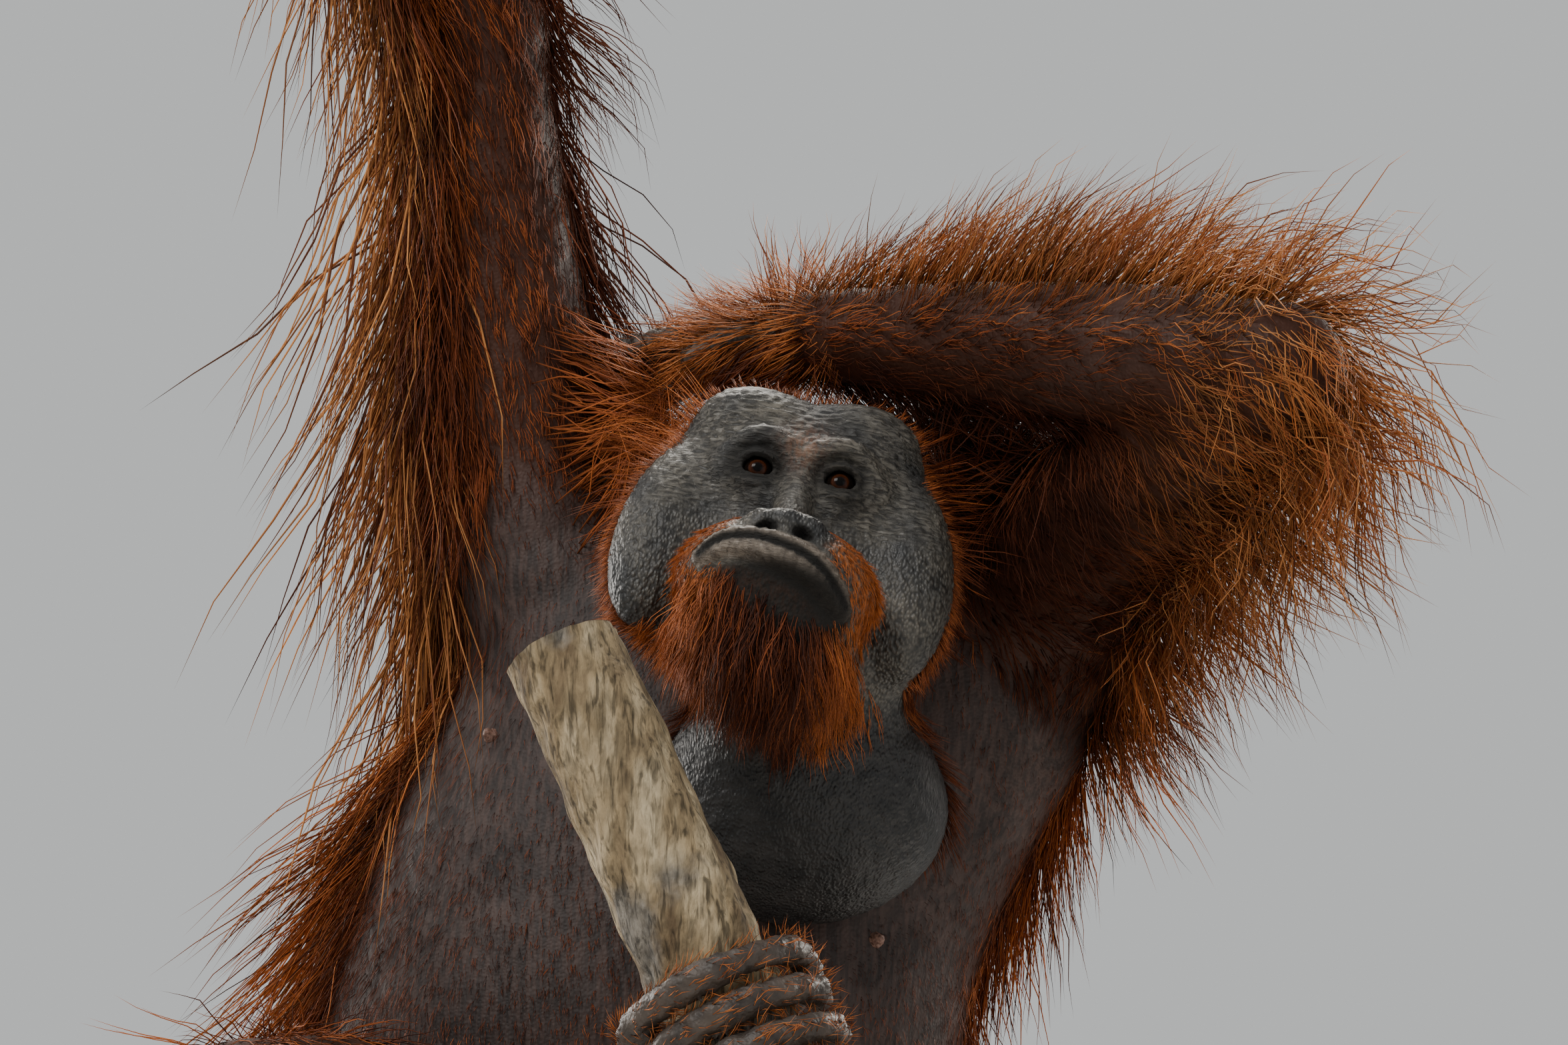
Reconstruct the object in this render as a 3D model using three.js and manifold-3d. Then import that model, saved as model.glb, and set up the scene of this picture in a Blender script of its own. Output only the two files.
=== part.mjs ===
// A life-size male orangutan hanging by one hand, with both feet round a branch,
// on a plain display stand. Millimetres, +Z up. The animal faces -Y; its right side is at -X.
import * as THREE from 'three';
import { mergeVertices } from 'three/addons/utils/BufferGeometryUtils.js';
import Module from 'manifold-3d';

const wasm = await Module();
wasm.setup();

const GAP = 0.3;
const vec = (x, y, z) => new THREE.Vector3(x, y, z);
const rad = THREE.MathUtils.degToRad;
const mix = THREE.MathUtils.lerp;

// Seeded draw, so that every build gives the same coat.
function draws(seed) {
  let state = seed;
  return (low = 0, high = 1) => {
    state = (state + 0x6D2B79F5) | 0;
    let t = Math.imul(state ^ (state >>> 15), 1 | state);
    t = (t + Math.imul(t ^ (t >>> 7), 61 | t)) ^ t;
    return mix(low, high, ((t ^ (t >>> 14)) >>> 0) / 4294967296);
  };
}

// Solids: a closed geometry to a solid and back, and joins of many.
function solid(geometry) {
  geometry.deleteAttribute('normal');
  geometry.deleteAttribute('uv');
  const merged = mergeVertices(geometry, 1e-3);
  return new wasm.Manifold(new wasm.Mesh({
    numProp: 3,
    vertProperties: new Float32Array(merged.attributes.position.array),
    triVerts: new Uint32Array(merged.index.array),
  }));
}

const join = (pieces) => pieces.reduce((all, piece) => all.add(piece));

function largest(body) {
  const pieces = body.decompose();
  return pieces.reduce((best, piece) => (piece.volume() > best.volume() ? piece : best));
}

// Rings of points, run along the direction of travel and anticlockwise about it, closed by two poles.
function closeRings(rings, first, last) {
  const sides = rings[0].length;
  const points = [first, ...rings.flat(), last];
  const at = (ring, k) => 1 + ring * sides + (k % sides);
  const index = [];
  for (let k = 0; k < sides; k++) {
    index.push(0, at(0, k + 1), at(0, k));
    index.push(points.length - 1, at(rings.length - 1, k), at(rings.length - 1, k + 1));
    for (let ring = 0; ring + 1 < rings.length; ring++) {
      index.push(at(ring, k), at(ring, k + 1), at(ring + 1, k + 1));
      index.push(at(ring, k), at(ring + 1, k + 1), at(ring + 1, k));
    }
  }
  const geometry = new THREE.BufferGeometry();
  const places = points.flatMap((p) => p.toArray());
  geometry.setAttribute('position', new THREE.Float32BufferAttribute(places, 3));
  geometry.setIndex(index);
  return geometry;
}

// Stations are [x, y, z, half width, half depth]; side is the direction of the width.
function spine(stations, side) {
  const centre = new THREE.CatmullRomCurve3(stations.map((s) => vec(s[0], s[1], s[2])));
  const sizes = new THREE.CatmullRomCurve3(stations.map((s) => vec(s[3], s[4] ?? s[3], 0)));
  return (t) => {
    const along = centre.getTangent(t);
    const across = side.clone().addScaledVector(along, -side.dot(along)).normalize();
    const size = sizes.getPoint(t);
    const out = along.clone().cross(across);
    return { at: centre.getPoint(t), along, across, out, a: size.x, b: size.y };
  };
}

const DOME = [62, 32];
const SMALL_DOME = [45];

function loft(stations, grow = 0, options = {}) {
  const { sides = 14, steps = 8, side = vec(1, 0, 0), dome = 0.8, caps = DOME } = options;
  const where = spine(stations, side);
  const ring = (frame, shift, shrink) => {
    const middle = frame.at.clone().addScaledVector(frame.along, shift);
    return Array.from({ length: sides }, (_, k) => {
      const turn = (2 * Math.PI * k) / sides;
      return middle.clone()
        .addScaledVector(frame.across, Math.cos(turn) * (frame.a + grow) * shrink)
        .addScaledVector(frame.out, Math.sin(turn) * (frame.b + grow) * shrink);
    });
  };
  const start = where(0);
  const end = where(1);
  const startCap = Math.min(start.a, start.b) * dome + grow;
  const endCap = Math.min(end.a, end.b) * dome + grow;
  const rings = [];
  for (const angle of caps) rings.push(ring(start, -startCap * Math.sin(rad(angle)), Math.cos(rad(angle))));
  for (let step = 0; step <= steps; step++) rings.push(ring(where(step / steps), 0, 1));
  for (const angle of [...caps].reverse()) {
    rings.push(ring(end, endCap * Math.sin(rad(angle)), Math.cos(rad(angle))));
  }
  return closeRings(
    rings,
    start.at.clone().addScaledVector(start.along, -startCap),
    end.at.clone().addScaledVector(end.along, endCap),
  );
}

function ball([x, y, z], [a, b, c], grow = 0, [across, up] = [20, 14], turn = [0, 0, 0]) {
  const geometry = new THREE.SphereGeometry(1, across, up);
  geometry.rotateX(Math.PI / 2);
  geometry.scale(a + grow, b + grow, c + grow);
  geometry.applyMatrix4(new THREE.Matrix4().makeRotationFromEuler(new THREE.Euler(...turn.map(rad))));
  return geometry.translate(x, y, z);
}

// The head: its own frame has the face to -Y, +Z up and the point midway between the eyes at 0.
// It is tilted up, turned a little and leans to the animal's left.
const HEAD_SIZE = 1.09;
const EYES_AT = vec(40, -211, 1327);
const HEAD_LIFT = 13;
const HEAD_TURN = 2;
const HEAD_LEAN = 10;
const SIGHT_RISE = rad(22);
const SIGHT = vec(0, Math.cos(SIGHT_RISE), Math.sin(SIGHT_RISE));
const SIGHT_UP = vec(0, -Math.sin(SIGHT_RISE), Math.cos(SIGHT_RISE));
const headAxis = (x, y, z) => vec(x, y, z)
  .applyAxisAngle(vec(1, 0, 0), -rad(HEAD_LIFT))
  .applyAxisAngle(SIGHT_UP, -rad(HEAD_TURN))
  .applyAxisAngle(SIGHT, rad(HEAD_LEAN))
  .multiplyScalar(HEAD_SIZE);
const HEAD = new THREE.Matrix4()
  .makeBasis(headAxis(1, 0, 0), headAxis(0, 1, 0), headAxis(0, 0, 1))
  .setPosition(EYES_AT);
const onHead = (geometry) => solid(geometry.applyMatrix4(HEAD));
const headPoint = (x, y, z) => vec(x, y, z).applyMatrix4(HEAD);

const EYE = { across: 27, radius: 12 };
const LID_RADIUS = 15.6;
const MOUTH = [
  [-50, -44, -102], [-41, -53, -96], [-28, -59, -93.5], [-14, -62.5, -94.5], [0, -64, -97.5],
  [15, -62, -101], [28, -57, -107], [38, -47.5, -114], [46, -37, -119.5],
];

// Signed distances, and their smooth union and cut with a fillet of size k.
const fillet = (a, b, k) => (Math.max(k - Math.abs(a - b), 0) ** 2 * 0.25) / k;
const blend = (a, b, k) => Math.min(a, b) - fillet(a, b, k);
const carve = (a, b, k) => Math.max(a, -b) + fillet(a, -b, k);

function toEgg(p, [x, y, z], [a, b, c], lean = 0) {
  const q = vec(p.x - x, p.y - y, p.z - z).applyAxisAngle(vec(0, 1, 0), -rad(lean));
  const near = Math.hypot(q.x / a, q.y / b, q.z / c);
  const steep = Math.hypot(q.x / (a * a), q.y / (b * b), q.z / (c * c)) + 1e-9;
  return (near * (near - 1)) / steep;
}

function toRod(p, from, to, r0, r1) {
  const a = vec(...from);
  const run = vec(...to).sub(a);
  const q = p.clone().sub(a);
  const t = THREE.MathUtils.clamp(q.dot(run) / run.lengthSq(), 0, 1);
  return q.addScaledVector(run, -t).length() - mix(r0, r1, t);
}

// The bald face with its cheek flanges, brow, nose and muzzle, on the cranium.
function toHead(point) {
  const p = vec(Math.abs(point.x), point.y, point.z);
  let d = toEgg(p, [0, 92, 8], [76, 94, 74]);
  d = blend(d, toEgg(p, [0, 34, 18], [88, 38, 62]), 30);
  d = blend(d, toEgg(p, [0, 38, -58], [106, 40, 76]), 30);
  d = blend(d, toEgg(p, [36, 24, 52], [38, 26, 29]), 12);
  d = blend(d, toEgg(p, [82, 22, -48], [28, 24, 68], -4), 16);
  d = blend(d, toRod(p, [8, -6, 17], [34, -8, 22], 7, 6), 12);
  d = blend(d, toRod(p, [34, -8, 22], [50, 2, 4], 6, 5), 12);
  d = blend(d, toRod(p, [49, 2, 0], [24, -5, -20], 5, 5), 12);
  d = blend(d, toRod(p, [0, -4, 2], [0, -20, -48], 8, 13), 12);
  d = blend(d, toEgg(p, [0, -16, -95], [64, 48, 41]), 12);
  d = blend(d, toEgg(p, [0, 0, -128], [58, 46, 36]), 16);
  return carve(d, toEgg(p, [EYE.across, -17, 1], [18, 15, 13]), 6);
}

const FACE_RINGS = 15;
const FACE_SIDES = 28;
const HEART_OF_HEAD = vec(0, 50, -42);

function headShell(grow) {
  const surface = (direction) => {
    let outside = 260;
    let inside = 20;
    for (let r = outside; r > inside; r -= 4) {
      if (toHead(HEART_OF_HEAD.clone().addScaledVector(direction, r)) < 0) {
        inside = r;
        break;
      }
      outside = r;
    }
    for (let halving = 0; halving < 10; halving++) {
      const middle = (inside + outside) / 2;
      if (toHead(HEART_OF_HEAD.clone().addScaledVector(direction, middle)) < 0) inside = middle;
      else outside = middle;
    }
    return HEART_OF_HEAD.clone().addScaledVector(direction, outside + grow * 1.3);
  };
  const rings = [];
  for (let ring = 1; ring < FACE_RINGS; ring++) {
    const tilt = Math.PI * (ring / FACE_RINGS) ** 1.2;
    rings.push(Array.from({ length: FACE_SIDES }, (_, k) => {
      const turn = (2 * Math.PI * k) / FACE_SIDES;
      return surface(vec(
        Math.sin(tilt) * Math.cos(turn), -Math.cos(tilt), -Math.sin(tilt) * Math.sin(turn),
      ));
    }));
  }
  return closeRings(rings, surface(vec(0, -1, 0)), surface(vec(0, 1, 0)));
}

// A tube beside the mouth line: rise is how far it lies above the line, square to it.
function lip(rise, radius, grow, forward = 0, reach = 1) {
  const last = MOUTH.length - 1;
  const stations = MOUTH.map(([x, y, z], i) => {
    const [before, after] = [MOUTH[Math.max(i - 1, 0)], MOUTH[Math.min(i + 1, last)]];
    const [runX, runZ] = [after[0] - before[0], after[2] - before[2]];
    const run = Math.hypot(runX, runZ);
    const full = Math.sin((Math.PI * (i + 0.6)) / (last + 1.2)) ** 0.5;
    const up = rise * full;
    return [(x - (up * runZ) / run) * reach, y - forward, z + (up * runX) / run, radius * full + grow];
  });
  return onHead(loft(stations, 0, { sides: 6, steps: 8, side: vec(0, 0, 1), caps: SMALL_DOME }));
}

function lids(side, grow) {
  const centre = [side * EYE.across, 0, 0];
  return onHead(ball(centre, [LID_RADIUS, LID_RADIUS, LID_RADIUS], grow, [12, 8]));
}

function head(grow = 0) {
  let skin = onHead(headShell(grow));
  const slits = [];
  for (const side of [-1, 1]) {
    skin = skin.add(lids(side, grow));
    slits.push(onHead(ball([side * EYE.across, -13, -1.4], [11.5, 12, 6], 0, [10, 6])));
    skin = skin.add(onHead(ball([side * 13, -50, -73], [12, 11, 9], grow, [9, 6])));
  }
  skin = join([skin, lip(4.6, 5, grow), lip(-6.4, 7, grow)]);
  if (grow > 0) return skin;
  for (const side of [-1, 1]) {
    skin = skin.subtract(eye(side, GAP));
    skin = skin.subtract(onHead(ball([side * 12, -62, -82], [6.8, 9, 4.6], 0, [8, 6], [0, side * 18, 0])));
  }
  for (const slit of slits) skin = skin.subtract(slit);
  return skin.subtract(lip(0, 1.6, 0, 6.5, 1.03));
}

function eye(side, grow = 0) {
  return onHead(ball([side * EYE.across, 0, 0], [EYE.radius, EYE.radius, EYE.radius], grow, [12, 9]));
}

function ear(side, grow = 0) {
  const turn = [0, 0, side * 35];
  const cup = onHead(ball([side * 90, 66, -2], [8, 17, 22], grow, [10, 7], turn));
  if (grow > 0) return cup;
  return cup.subtract(onHead(ball([side * 97, 59, -2], [6, 11, 15], 0, [10, 6], turn)));
}

// The body. Stations give the coat's outer form; the flesh lies inside it.
const TORSO = [
  [-120, 100, 705, 95, 85], [-115, 95, 765, 172, 130], [-100, 82, 860, 222, 168], [-80, 75, 970, 248, 184],
  [-55, 70, 1080, 250, 176], [-20, 62, 1190, 246, 158], [12, 52, 1270, 228, 138], [32, 36, 1338, 178, 104],
];
const SHOULDERS = [
  [[-60, 58, 1200, 120, 110], [-112, 42, 1285, 108], [-152, 24, 1368, 88]],
  [[90, 55, 1150, 130, 110], [165, 40, 1240, 118, 100], [214, 14, 1312, 88]],
];
const SAC = { at: [40, -112, 1118], size: [107, 80, 84] };

function torso(grow = 0) {
  const trunk = solid(loft(TORSO, grow, { sides: 20, steps: 8 }));
  const shape = { sides: 12, steps: 3, caps: SMALL_DOME };
  return join([trunk, ...SHOULDERS.map((stations) => solid(loft(stations, grow, shape)))]);
}

const throatSac = (grow = 0) => solid(ball(SAC.at, SAC.size, grow, [18, 11]));
const neck = (grow = 0) => solid(loft([
  [38, 40, 1262, 96, 78], [44, -20, 1270, 92, 78], [46, -80, 1262, 84, 76],
], grow, { sides: 12, steps: 3 }));

const LIMBS = {
  upper_arm_r: [
    [-152, 24, 1372, 82], [-176, -8, 1500, 84, 76], [-192, -50, 1630, 72, 66], [-200, -94, 1751, 60, 56],
  ],
  forearm_r: [
    [-200, -94, 1751, 60], [-232, -142, 1826, 66, 60], [-285, -215, 1935, 56], [-334, -273, 2024, 39, 34],
  ],
  upper_arm_l: [
    [214, 16, 1318, 84], [262, -90, 1345, 84, 78], [318, -205, 1362, 72], [369, -304, 1370, 60],
  ],
  forearm_l: [
    [369, -304, 1370, 60], [292, -245, 1406, 68, 64], [165, -150, 1462, 58], [52, -70, 1504, 38, 34],
  ],
  thigh_r: [[-210, 85, 795, 100], [-255, -10, 835, 98, 92], [-300, -90, 862, 84], [-335, -160, 880, 66]],
  shin_r: [[-335, -160, 880, 66], [-268, -188, 878, 64], [-182, -205, 852, 52], [-97, -218, 820, 42]],
  thigh_l: [[-10, 90, 740, 100], [70, 40, 770, 96, 90], [150, -20, 785, 84], [220, -70, 790, 66]],
  shin_l: [[220, -70, 790, 66], [218, -120, 740, 62], [208, -182, 675, 52], [195, -235, 620, 42]],
};
const limb = (name) => (grow = 0) => solid(loft(LIMBS[name], grow, { sides: 11, steps: 5, dome: 0.95 }));

// The perch is two cut lengths of one kind of branch: one under the feet, one in the right hand.
const PERCH_RADIUS = 43;
const PERCH = {
  lower: { from: vec(151, -319, 560), to: vec(-119, -319, 1160) },
  upper: { from: vec(-351, -315, 1955), to: vec(-389, -315, 2225) },
};
const KNOBS = [[0.15, 3], [0.42, -2], [0.63, 4], [0.88, 1]];

function perch(name, grow = 0) {
  const { from, to } = PERCH[name];
  const stations = [[0, 0], ...KNOBS, [1, 0]].map(([t, swell]) => {
    const at = from.clone().lerp(to, t);
    return [at.x, at.y, at.z, PERCH_RADIUS + swell];
  });
  const shape = { sides: 14, steps: 5, side: vec(0, 1, 0), dome: 0.12, caps: SMALL_DOME };
  return solid(loft(stations, grow, shape));
}

// A hand or foot round a perch: the palm lies between the wrist and the branch, and the fingers
// and the thumb close round it from either side. turn is +1 for a right one and -1 for a left one.
const FINGER = { radius: 12.5, tip: 10, sweep: 205, pitch: 25.5, thumbSweep: 130 };

function grip(name, wrist, height, turn, fingers, grow = 0) {
  const { from, to } = PERCH[name];
  const axis = to.clone().sub(from).normalize();
  const middle = from.clone().addScaledVector(axis, height);
  const out = wrist.clone().sub(middle);
  out.addScaledVector(axis, -out.dot(axis)).normalize();
  const around = axis.clone().cross(out).multiplyScalar(turn);
  const onRing = (angle, reach, lift) => middle.clone()
    .addScaledVector(out, Math.cos(rad(angle)) * reach)
    .addScaledVector(around, Math.sin(rad(angle)) * reach)
    .addScaledVector(axis, lift);
  const hold = PERCH_RADIUS + 3 + FINGER.radius;
  const finger = (start, sweep, lift, slope, size) => {
    const stations = [];
    for (let step = 0; step <= 5; step++) {
      const t = step / 5;
      const knuckle = step % 2 ? 1.08 : 0.96;
      const radius = mix(FINGER.radius, FINGER.tip, t) * size * knuckle;
      const p = onRing(start + sweep * t, hold + 3 * (1 - t), lift + slope * t);
      stations.push([p.x, p.y, p.z, radius]);
    }
    return solid(loft(stations, grow, { sides: 6, steps: 5, side: axis, dome: 1, caps: SMALL_DOME }));
  };
  const heel = onRing(0, hold + 12, 0);
  const palm = loft([
    [wrist.x, wrist.y, wrist.z, 34, 36], [...wrist.clone().lerp(heel, 0.55).toArray(), 37, 30],
    [...heel.toArray(), 44, 25], [...onRing(26, hold + 6, 2).toArray(), 46, 20],
  ], grow, { sides: 10, steps: 4, side: axis, dome: 0.9, caps: SMALL_DOME });
  const pieces = [solid(palm)];
  for (let k = 0; k < fingers; k++) {
    const lift = (k - (fingers - 1) / 2) * FINGER.pitch;
    pieces.push(finger(20, FINGER.sweep - 12 * Math.abs(k - 1.6), lift, lift * 0.1, 1));
  }
  pieces.push(finger(-12, -FINGER.thumbSweep, 20, 14, 1.12));
  return join(pieces);
}

const WRIST = {
  hand_r: vec(-334, -273, 2024), foot_r: vec(-97, -218, 820), foot_l: vec(195, -235, 620),
};
const hand_r = (grow = 0) => grip('upper', WRIST.hand_r, 140, 1, 4, grow);
const foot_r = (grow = 0) => grip('lower', WRIST.foot_r, 356, 1, 4, grow);
const foot_l = (grow = 0) => grip('lower', WRIST.foot_l, 150, -1, 4, grow);

// The left hand lies over the nape, its fingers bent down behind the head.
const NAPE_ACROSS = vec(0.6, 0.8, 0);
const NAPE_KNUCKLES = vec(-34, -6, 1517);

function hand_l(grow = 0) {
  const palm = loft([[52, -70, 1504, 34, 32], [12, -38, 1514, 42, 25], [-32, -4, 1516, 45, 22]], grow, {
    sides: 9, steps: 3, side: NAPE_ACROSS, dome: 0.9, caps: SMALL_DOME,
  });
  const pieces = [solid(palm)];
  const digit = { sides: 6, steps: 4, side: NAPE_ACROSS, dome: 1, caps: SMALL_DOME };
  for (let k = 0; k < 4; k++) {
    const shift = NAPE_ACROSS.clone().multiplyScalar((k - 1.5) * 23).add(NAPE_KNUCKLES);
    const reach = 1 - 0.06 * Math.abs(k - 1.6);
    const bend = [[0, 0, 0, 12.5], [-38, 22, -2, 12.8], [-70, 42, -17, 11.6], [-90, 56, -41, 9.5]];
    const stations = bend.map(([x, y, z, r]) => [shift.x + x * reach, shift.y + y * reach, shift.z + z, r]);
    pieces.push(solid(loft(stations, grow, digit)));
  }
  const thumb = [[24, -74, 1506, 14], [-8, -74, 1500, 13.5], [-38, -68, 1486, 11]];
  pieces.push(solid(loft(thumb, grow, { ...digit, steps: 3, side: vec(0, 0, 1) })));
  return join(pieces);
}

// The stand.
const BASE = { size: [820, 840, 30], corner: 60 };
const ROD_RADIUS = 16;

function base() {
  const [width, depth, height] = BASE.size;
  const outline = new THREE.Shape();
  const [x, y, r] = [width / 2, depth / 2, BASE.corner];
  outline.moveTo(-x + r, -y);
  outline.lineTo(x - r, -y);
  outline.absarc(x - r, -y + r, r, -Math.PI / 2, 0);
  outline.absarc(x - r, y - r, r, 0, Math.PI / 2);
  outline.absarc(-x + r, y - r, r, Math.PI / 2, Math.PI);
  outline.absarc(-x + r, -y + r, r, Math.PI, 1.5 * Math.PI);
  const plate = { depth: height, bevelEnabled: false, curveSegments: 5 };
  return solid(new THREE.ExtrudeGeometry(outline, plate));
}

function rod(x, y, top) {
  const bottom = BASE.size[2] + GAP;
  const geometry = new THREE.CylinderGeometry(ROD_RADIUS, ROD_RADIUS, top - bottom, 16);
  geometry.rotateX(Math.PI / 2);
  return solid(geometry.translate(x, y, (top + bottom) / 2));
}

// The coat: flat tapered locks that bend as they hang. Each is rooted well inside its node, lies
// along lie, has its flat side to face, and sags by a share of its length.
const LOCK_RINGS = [[0, 0.85, 1], [0.4, 1, 1], [0.76, 0.62, 0.7]];
const DOWN = vec(0, 0, -1);

function lock({ root, lie, face, length, width, thick, sag }, grow) {
  const across = lie.clone().cross(face).normalize();
  const flat = across.clone().cross(lie).normalize();
  const along = (t) => root.clone()
    .addScaledVector(lie, length * t)
    .addScaledVector(DOWN, length * sag * t * t);
  const rings = LOCK_RINGS.map(([t, wide, deep]) => [
    along(t).addScaledVector(across, (width * wide) / 2 + grow),
    along(t).addScaledVector(flat, (thick * deep) / 2 + grow),
    along(t).addScaledVector(across, -(width * wide) / 2 - grow),
    along(t).addScaledVector(flat, -(thick * deep) / 2 - grow),
  ]);
  rings.forEach((ring) => ring.reverse());
  const heel = along(-0.06).addScaledVector(lie, -grow);
  const tip = along(1).addScaledVector(lie, 3 * grow);
  return solid(closeRings(rings, heel, tip));
}

// The lie mixes the limb's own direction, the way down and the way out of the skin.
const COVER = {
  upper_arm_r: { rows: 2, around: 5, length: [130, 180], width: 70, lie: [-0.3, 0.8, 0.42], sag: 0.15 },
  forearm_r: { rows: 2, around: 5, length: [110, 150], width: 58, lie: [-0.4, 0.7, 0.4], sag: 0.15 },
  upper_arm_l: { rows: 2, around: 5, length: [120, 165], width: 72, lie: [0.3, 0.75, 0.42], sag: 0.2 },
  forearm_l: { rows: 3, around: 5, length: [90, 125], width: 58, lie: [-0.5, 0.1, 0.55], sag: 0.25 },
  thigh_r: { rows: 2, around: 5, length: [95, 130], width: 72, lie: [0.5, 0.6, 0.32], sag: 0.15 },
  thigh_l: { rows: 2, around: 5, length: [95, 130], width: 72, lie: [0.5, 0.6, 0.32], sag: 0.15 },
  shin_r: { rows: 2, around: 4, length: [85, 110], width: 56, lie: [0.5, 0.6, 0.35], sag: 0.15 },
  shin_l: { rows: 2, around: 4, length: [85, 110], width: 56, lie: [0.6, 0.5, 0.35], sag: 0.1 },
};
const BACK = { rows: 4, around: 8, length: [150, 200], width: 112, lie: [-0.5, 0.6, 0.26], sag: 0.12 };
const BARE_CHEST = { front: -0.5, above: 900 };
const ROOT_SUNK = 14;
const LOCK_THICK = 9;

function coverLocks(stations, style, draw, grow, bare = () => false) {
  const where = spine(stations, vec(1, 0, 0));
  const locks = [];
  for (let row = 0; row < style.rows; row++) {
    for (let k = 0; k < style.around; k++) {
      const t = (row + draw(0.3, 0.9)) / style.rows;
      const turn = (2 * Math.PI * (k + 0.5 * (row % 2) + draw(-0.2, 0.2))) / style.around;
      const { at, along, across, out, a, b } = where(Math.min(t, 0.97));
      const face = across.clone()
        .multiplyScalar(Math.cos(turn) / a)
        .addScaledVector(out, Math.sin(turn) / b)
        .normalize();
      const root = at.clone()
        .addScaledVector(across, Math.cos(turn) * (a - ROOT_SUNK))
        .addScaledVector(out, Math.sin(turn) * (b - ROOT_SUNK));
      const [withLimb, down, outward] = style.lie;
      const lie = along.clone().multiplyScalar(withLimb + draw(-0.12, 0.12))
        .addScaledVector(DOWN, down)
        .addScaledVector(face, outward + Math.max(0, face.dot(vec(0, 0, 1))) * 0.6)
        .normalize();
      const length = draw(...style.length);
      const width = style.width * draw(0.85, 1.15);
      if (!bare(root, face)) {
        locks.push(lock({ root, lie, face, length, width, thick: LOCK_THICK, sag: style.sag }, grow));
      }
    }
  }
  return locks;
}

// Long fringes hang from a rail of roots along a limb, and their tips lie a drop away.
const FRINGES = [
  {
    node: 'upper_arm_r', locks: 6, drop: [-78, 0, -250],
    rail: [[-185, 20, 1440], [-225, -5, 1560], [-232, -60, 1690]],
  },
  {
    node: 'forearm_r', locks: 4, drop: [-35, 30, -180],
    rail: [[-225, -90, 1775], [-262, -150, 1880], [-308, -225, 1965]],
  },
  {
    node: 'upper_arm_l', locks: 4, drop: [25, 30, -190],
    rail: [[215, 20, 1290], [262, -70, 1305], [300, -150, 1320]],
  },
  {
    node: 'upper_arm_l', locks: 4, drop: [130, 20, -185],
    rail: [[310, -160, 1340], [345, -225, 1350], [372, -290, 1350]],
  },
  {
    node: 'forearm_l', locks: 4, drop: [150, 0, -110],
    rail: [[385, -300, 1372], [392, -280, 1392], [350, -262, 1402]],
  },
  {
    node: 'torso', locks: 5, drop: [-70, 15, -210],
    rail: [[-215, 95, 1270], [-240, 85, 1150], [-262, 90, 1000]],
  },
  {
    node: 'torso', locks: 4, drop: [45, 20, -190],
    rail: [[225, 60, 1270], [210, 75, 1150], [190, 85, 1000]],
  },
];
const FRINGE_WIDTH = 54;

function fringeLocks({ rail, drop, locks }, draw, grow) {
  const roots = new THREE.CatmullRomCurve3(rail.map((p) => vec(...p)));
  const way = vec(...drop);
  return Array.from({ length: locks }, (_, k) => {
    const t = (k + draw(0.2, 0.8)) / locks;
    const lie = way.clone().add(vec(draw(-40, 40), draw(-40, 40), 0)).normalize();
    const face = lie.clone().cross(roots.getTangent(t)).normalize();
    const length = way.length() * draw(0.8, 1.1);
    const width = FRINGE_WIDTH * draw(0.85, 1.2);
    return lock({ root: roots.getPoint(t), lie, face, length, width, thick: LOCK_THICK, sag: 0.08 }, grow);
  });
}

// The beard springs from the chin and jaw and parts to both sides; a short ruff rings the bald face.
const BEARD = { rows: 2, across: 6, length: [84, 116], width: 33 };
const RUFF = { locks: 9, length: [38, 56], width: 50 };

function beardLocks(draw, grow) {
  const locks = [];
  for (let row = 0; row < BEARD.rows; row++) {
    for (let k = 0; k < BEARD.across; k++) {
      const side = (2 * (k + 0.5)) / BEARD.across - 1 + draw(-0.06, 0.06);
      const root = headPoint(side * 56, -26 + 14 * row + 34 * side * side, -126 - 7 * row);
      const tip = headPoint(side * 100, 6 + 14 * row + 20 * side * side, -232 - 4 * row);
      const lie = tip.sub(root).normalize();
      const face = headPoint(side * 0.4, -1, -0.2).sub(headPoint(0, 0, 0)).normalize();
      const length = draw(...BEARD.length) * (1 - 0.25 * side * side);
      locks.push(lock({ root, lie, face, length, width: BEARD.width, thick: LOCK_THICK, sag: 0.1 }, grow));
    }
  }
  return locks;
}

function ruffLocks(draw, grow) {
  return Array.from({ length: RUFF.locks }, (_, k) => {
    const turn = mix(-0.62, 0.62, k / (RUFF.locks - 1)) * Math.PI;
    const edge = vec(Math.sin(turn) * 92, 52, Math.cos(turn) * 78 - 14);
    const root = headPoint(edge.x * 0.9, edge.y, edge.z * 0.9);
    const lie = headPoint(edge.x * 1.3, edge.y + 46, edge.z * 1.25).sub(root).normalize();
    const face = headPoint(Math.sin(turn), 0, Math.cos(turn)).sub(headPoint(0, 0, 0)).normalize();
    const length = draw(...RUFF.length);
    return lock({ root, lie, face, length, width: RUFF.width, thick: LOCK_THICK, sag: 0.1 }, grow);
  });
}

const HAIRY = ['head', 'torso', ...Object.keys(COVER)];
const SEEDS = Object.fromEntries(HAIRY.map((name, i) => [name, 11 + 7 * i]));

function coat(name, grow = 0) {
  if (!(name in SEEDS)) return null;
  const draw = draws(SEEDS[name]);
  const locks = [];
  if (name === 'head') locks.push(...beardLocks(draw, grow), ...ruffLocks(draw, grow));
  if (name === 'torso') {
    const bare = (root, face) => face.y < BARE_CHEST.front && root.z > BARE_CHEST.above;
    locks.push(...coverLocks(TORSO, BACK, draw, grow, bare));
  }
  if (name in COVER) locks.push(...coverLocks(LIMBS[name], COVER[name], draw, grow));
  for (const fringe of FRINGES.filter((f) => f.node === name)) {
    locks.push(...fringeLocks(fringe, draw, grow));
  }
  return join(locks);
}

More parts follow.
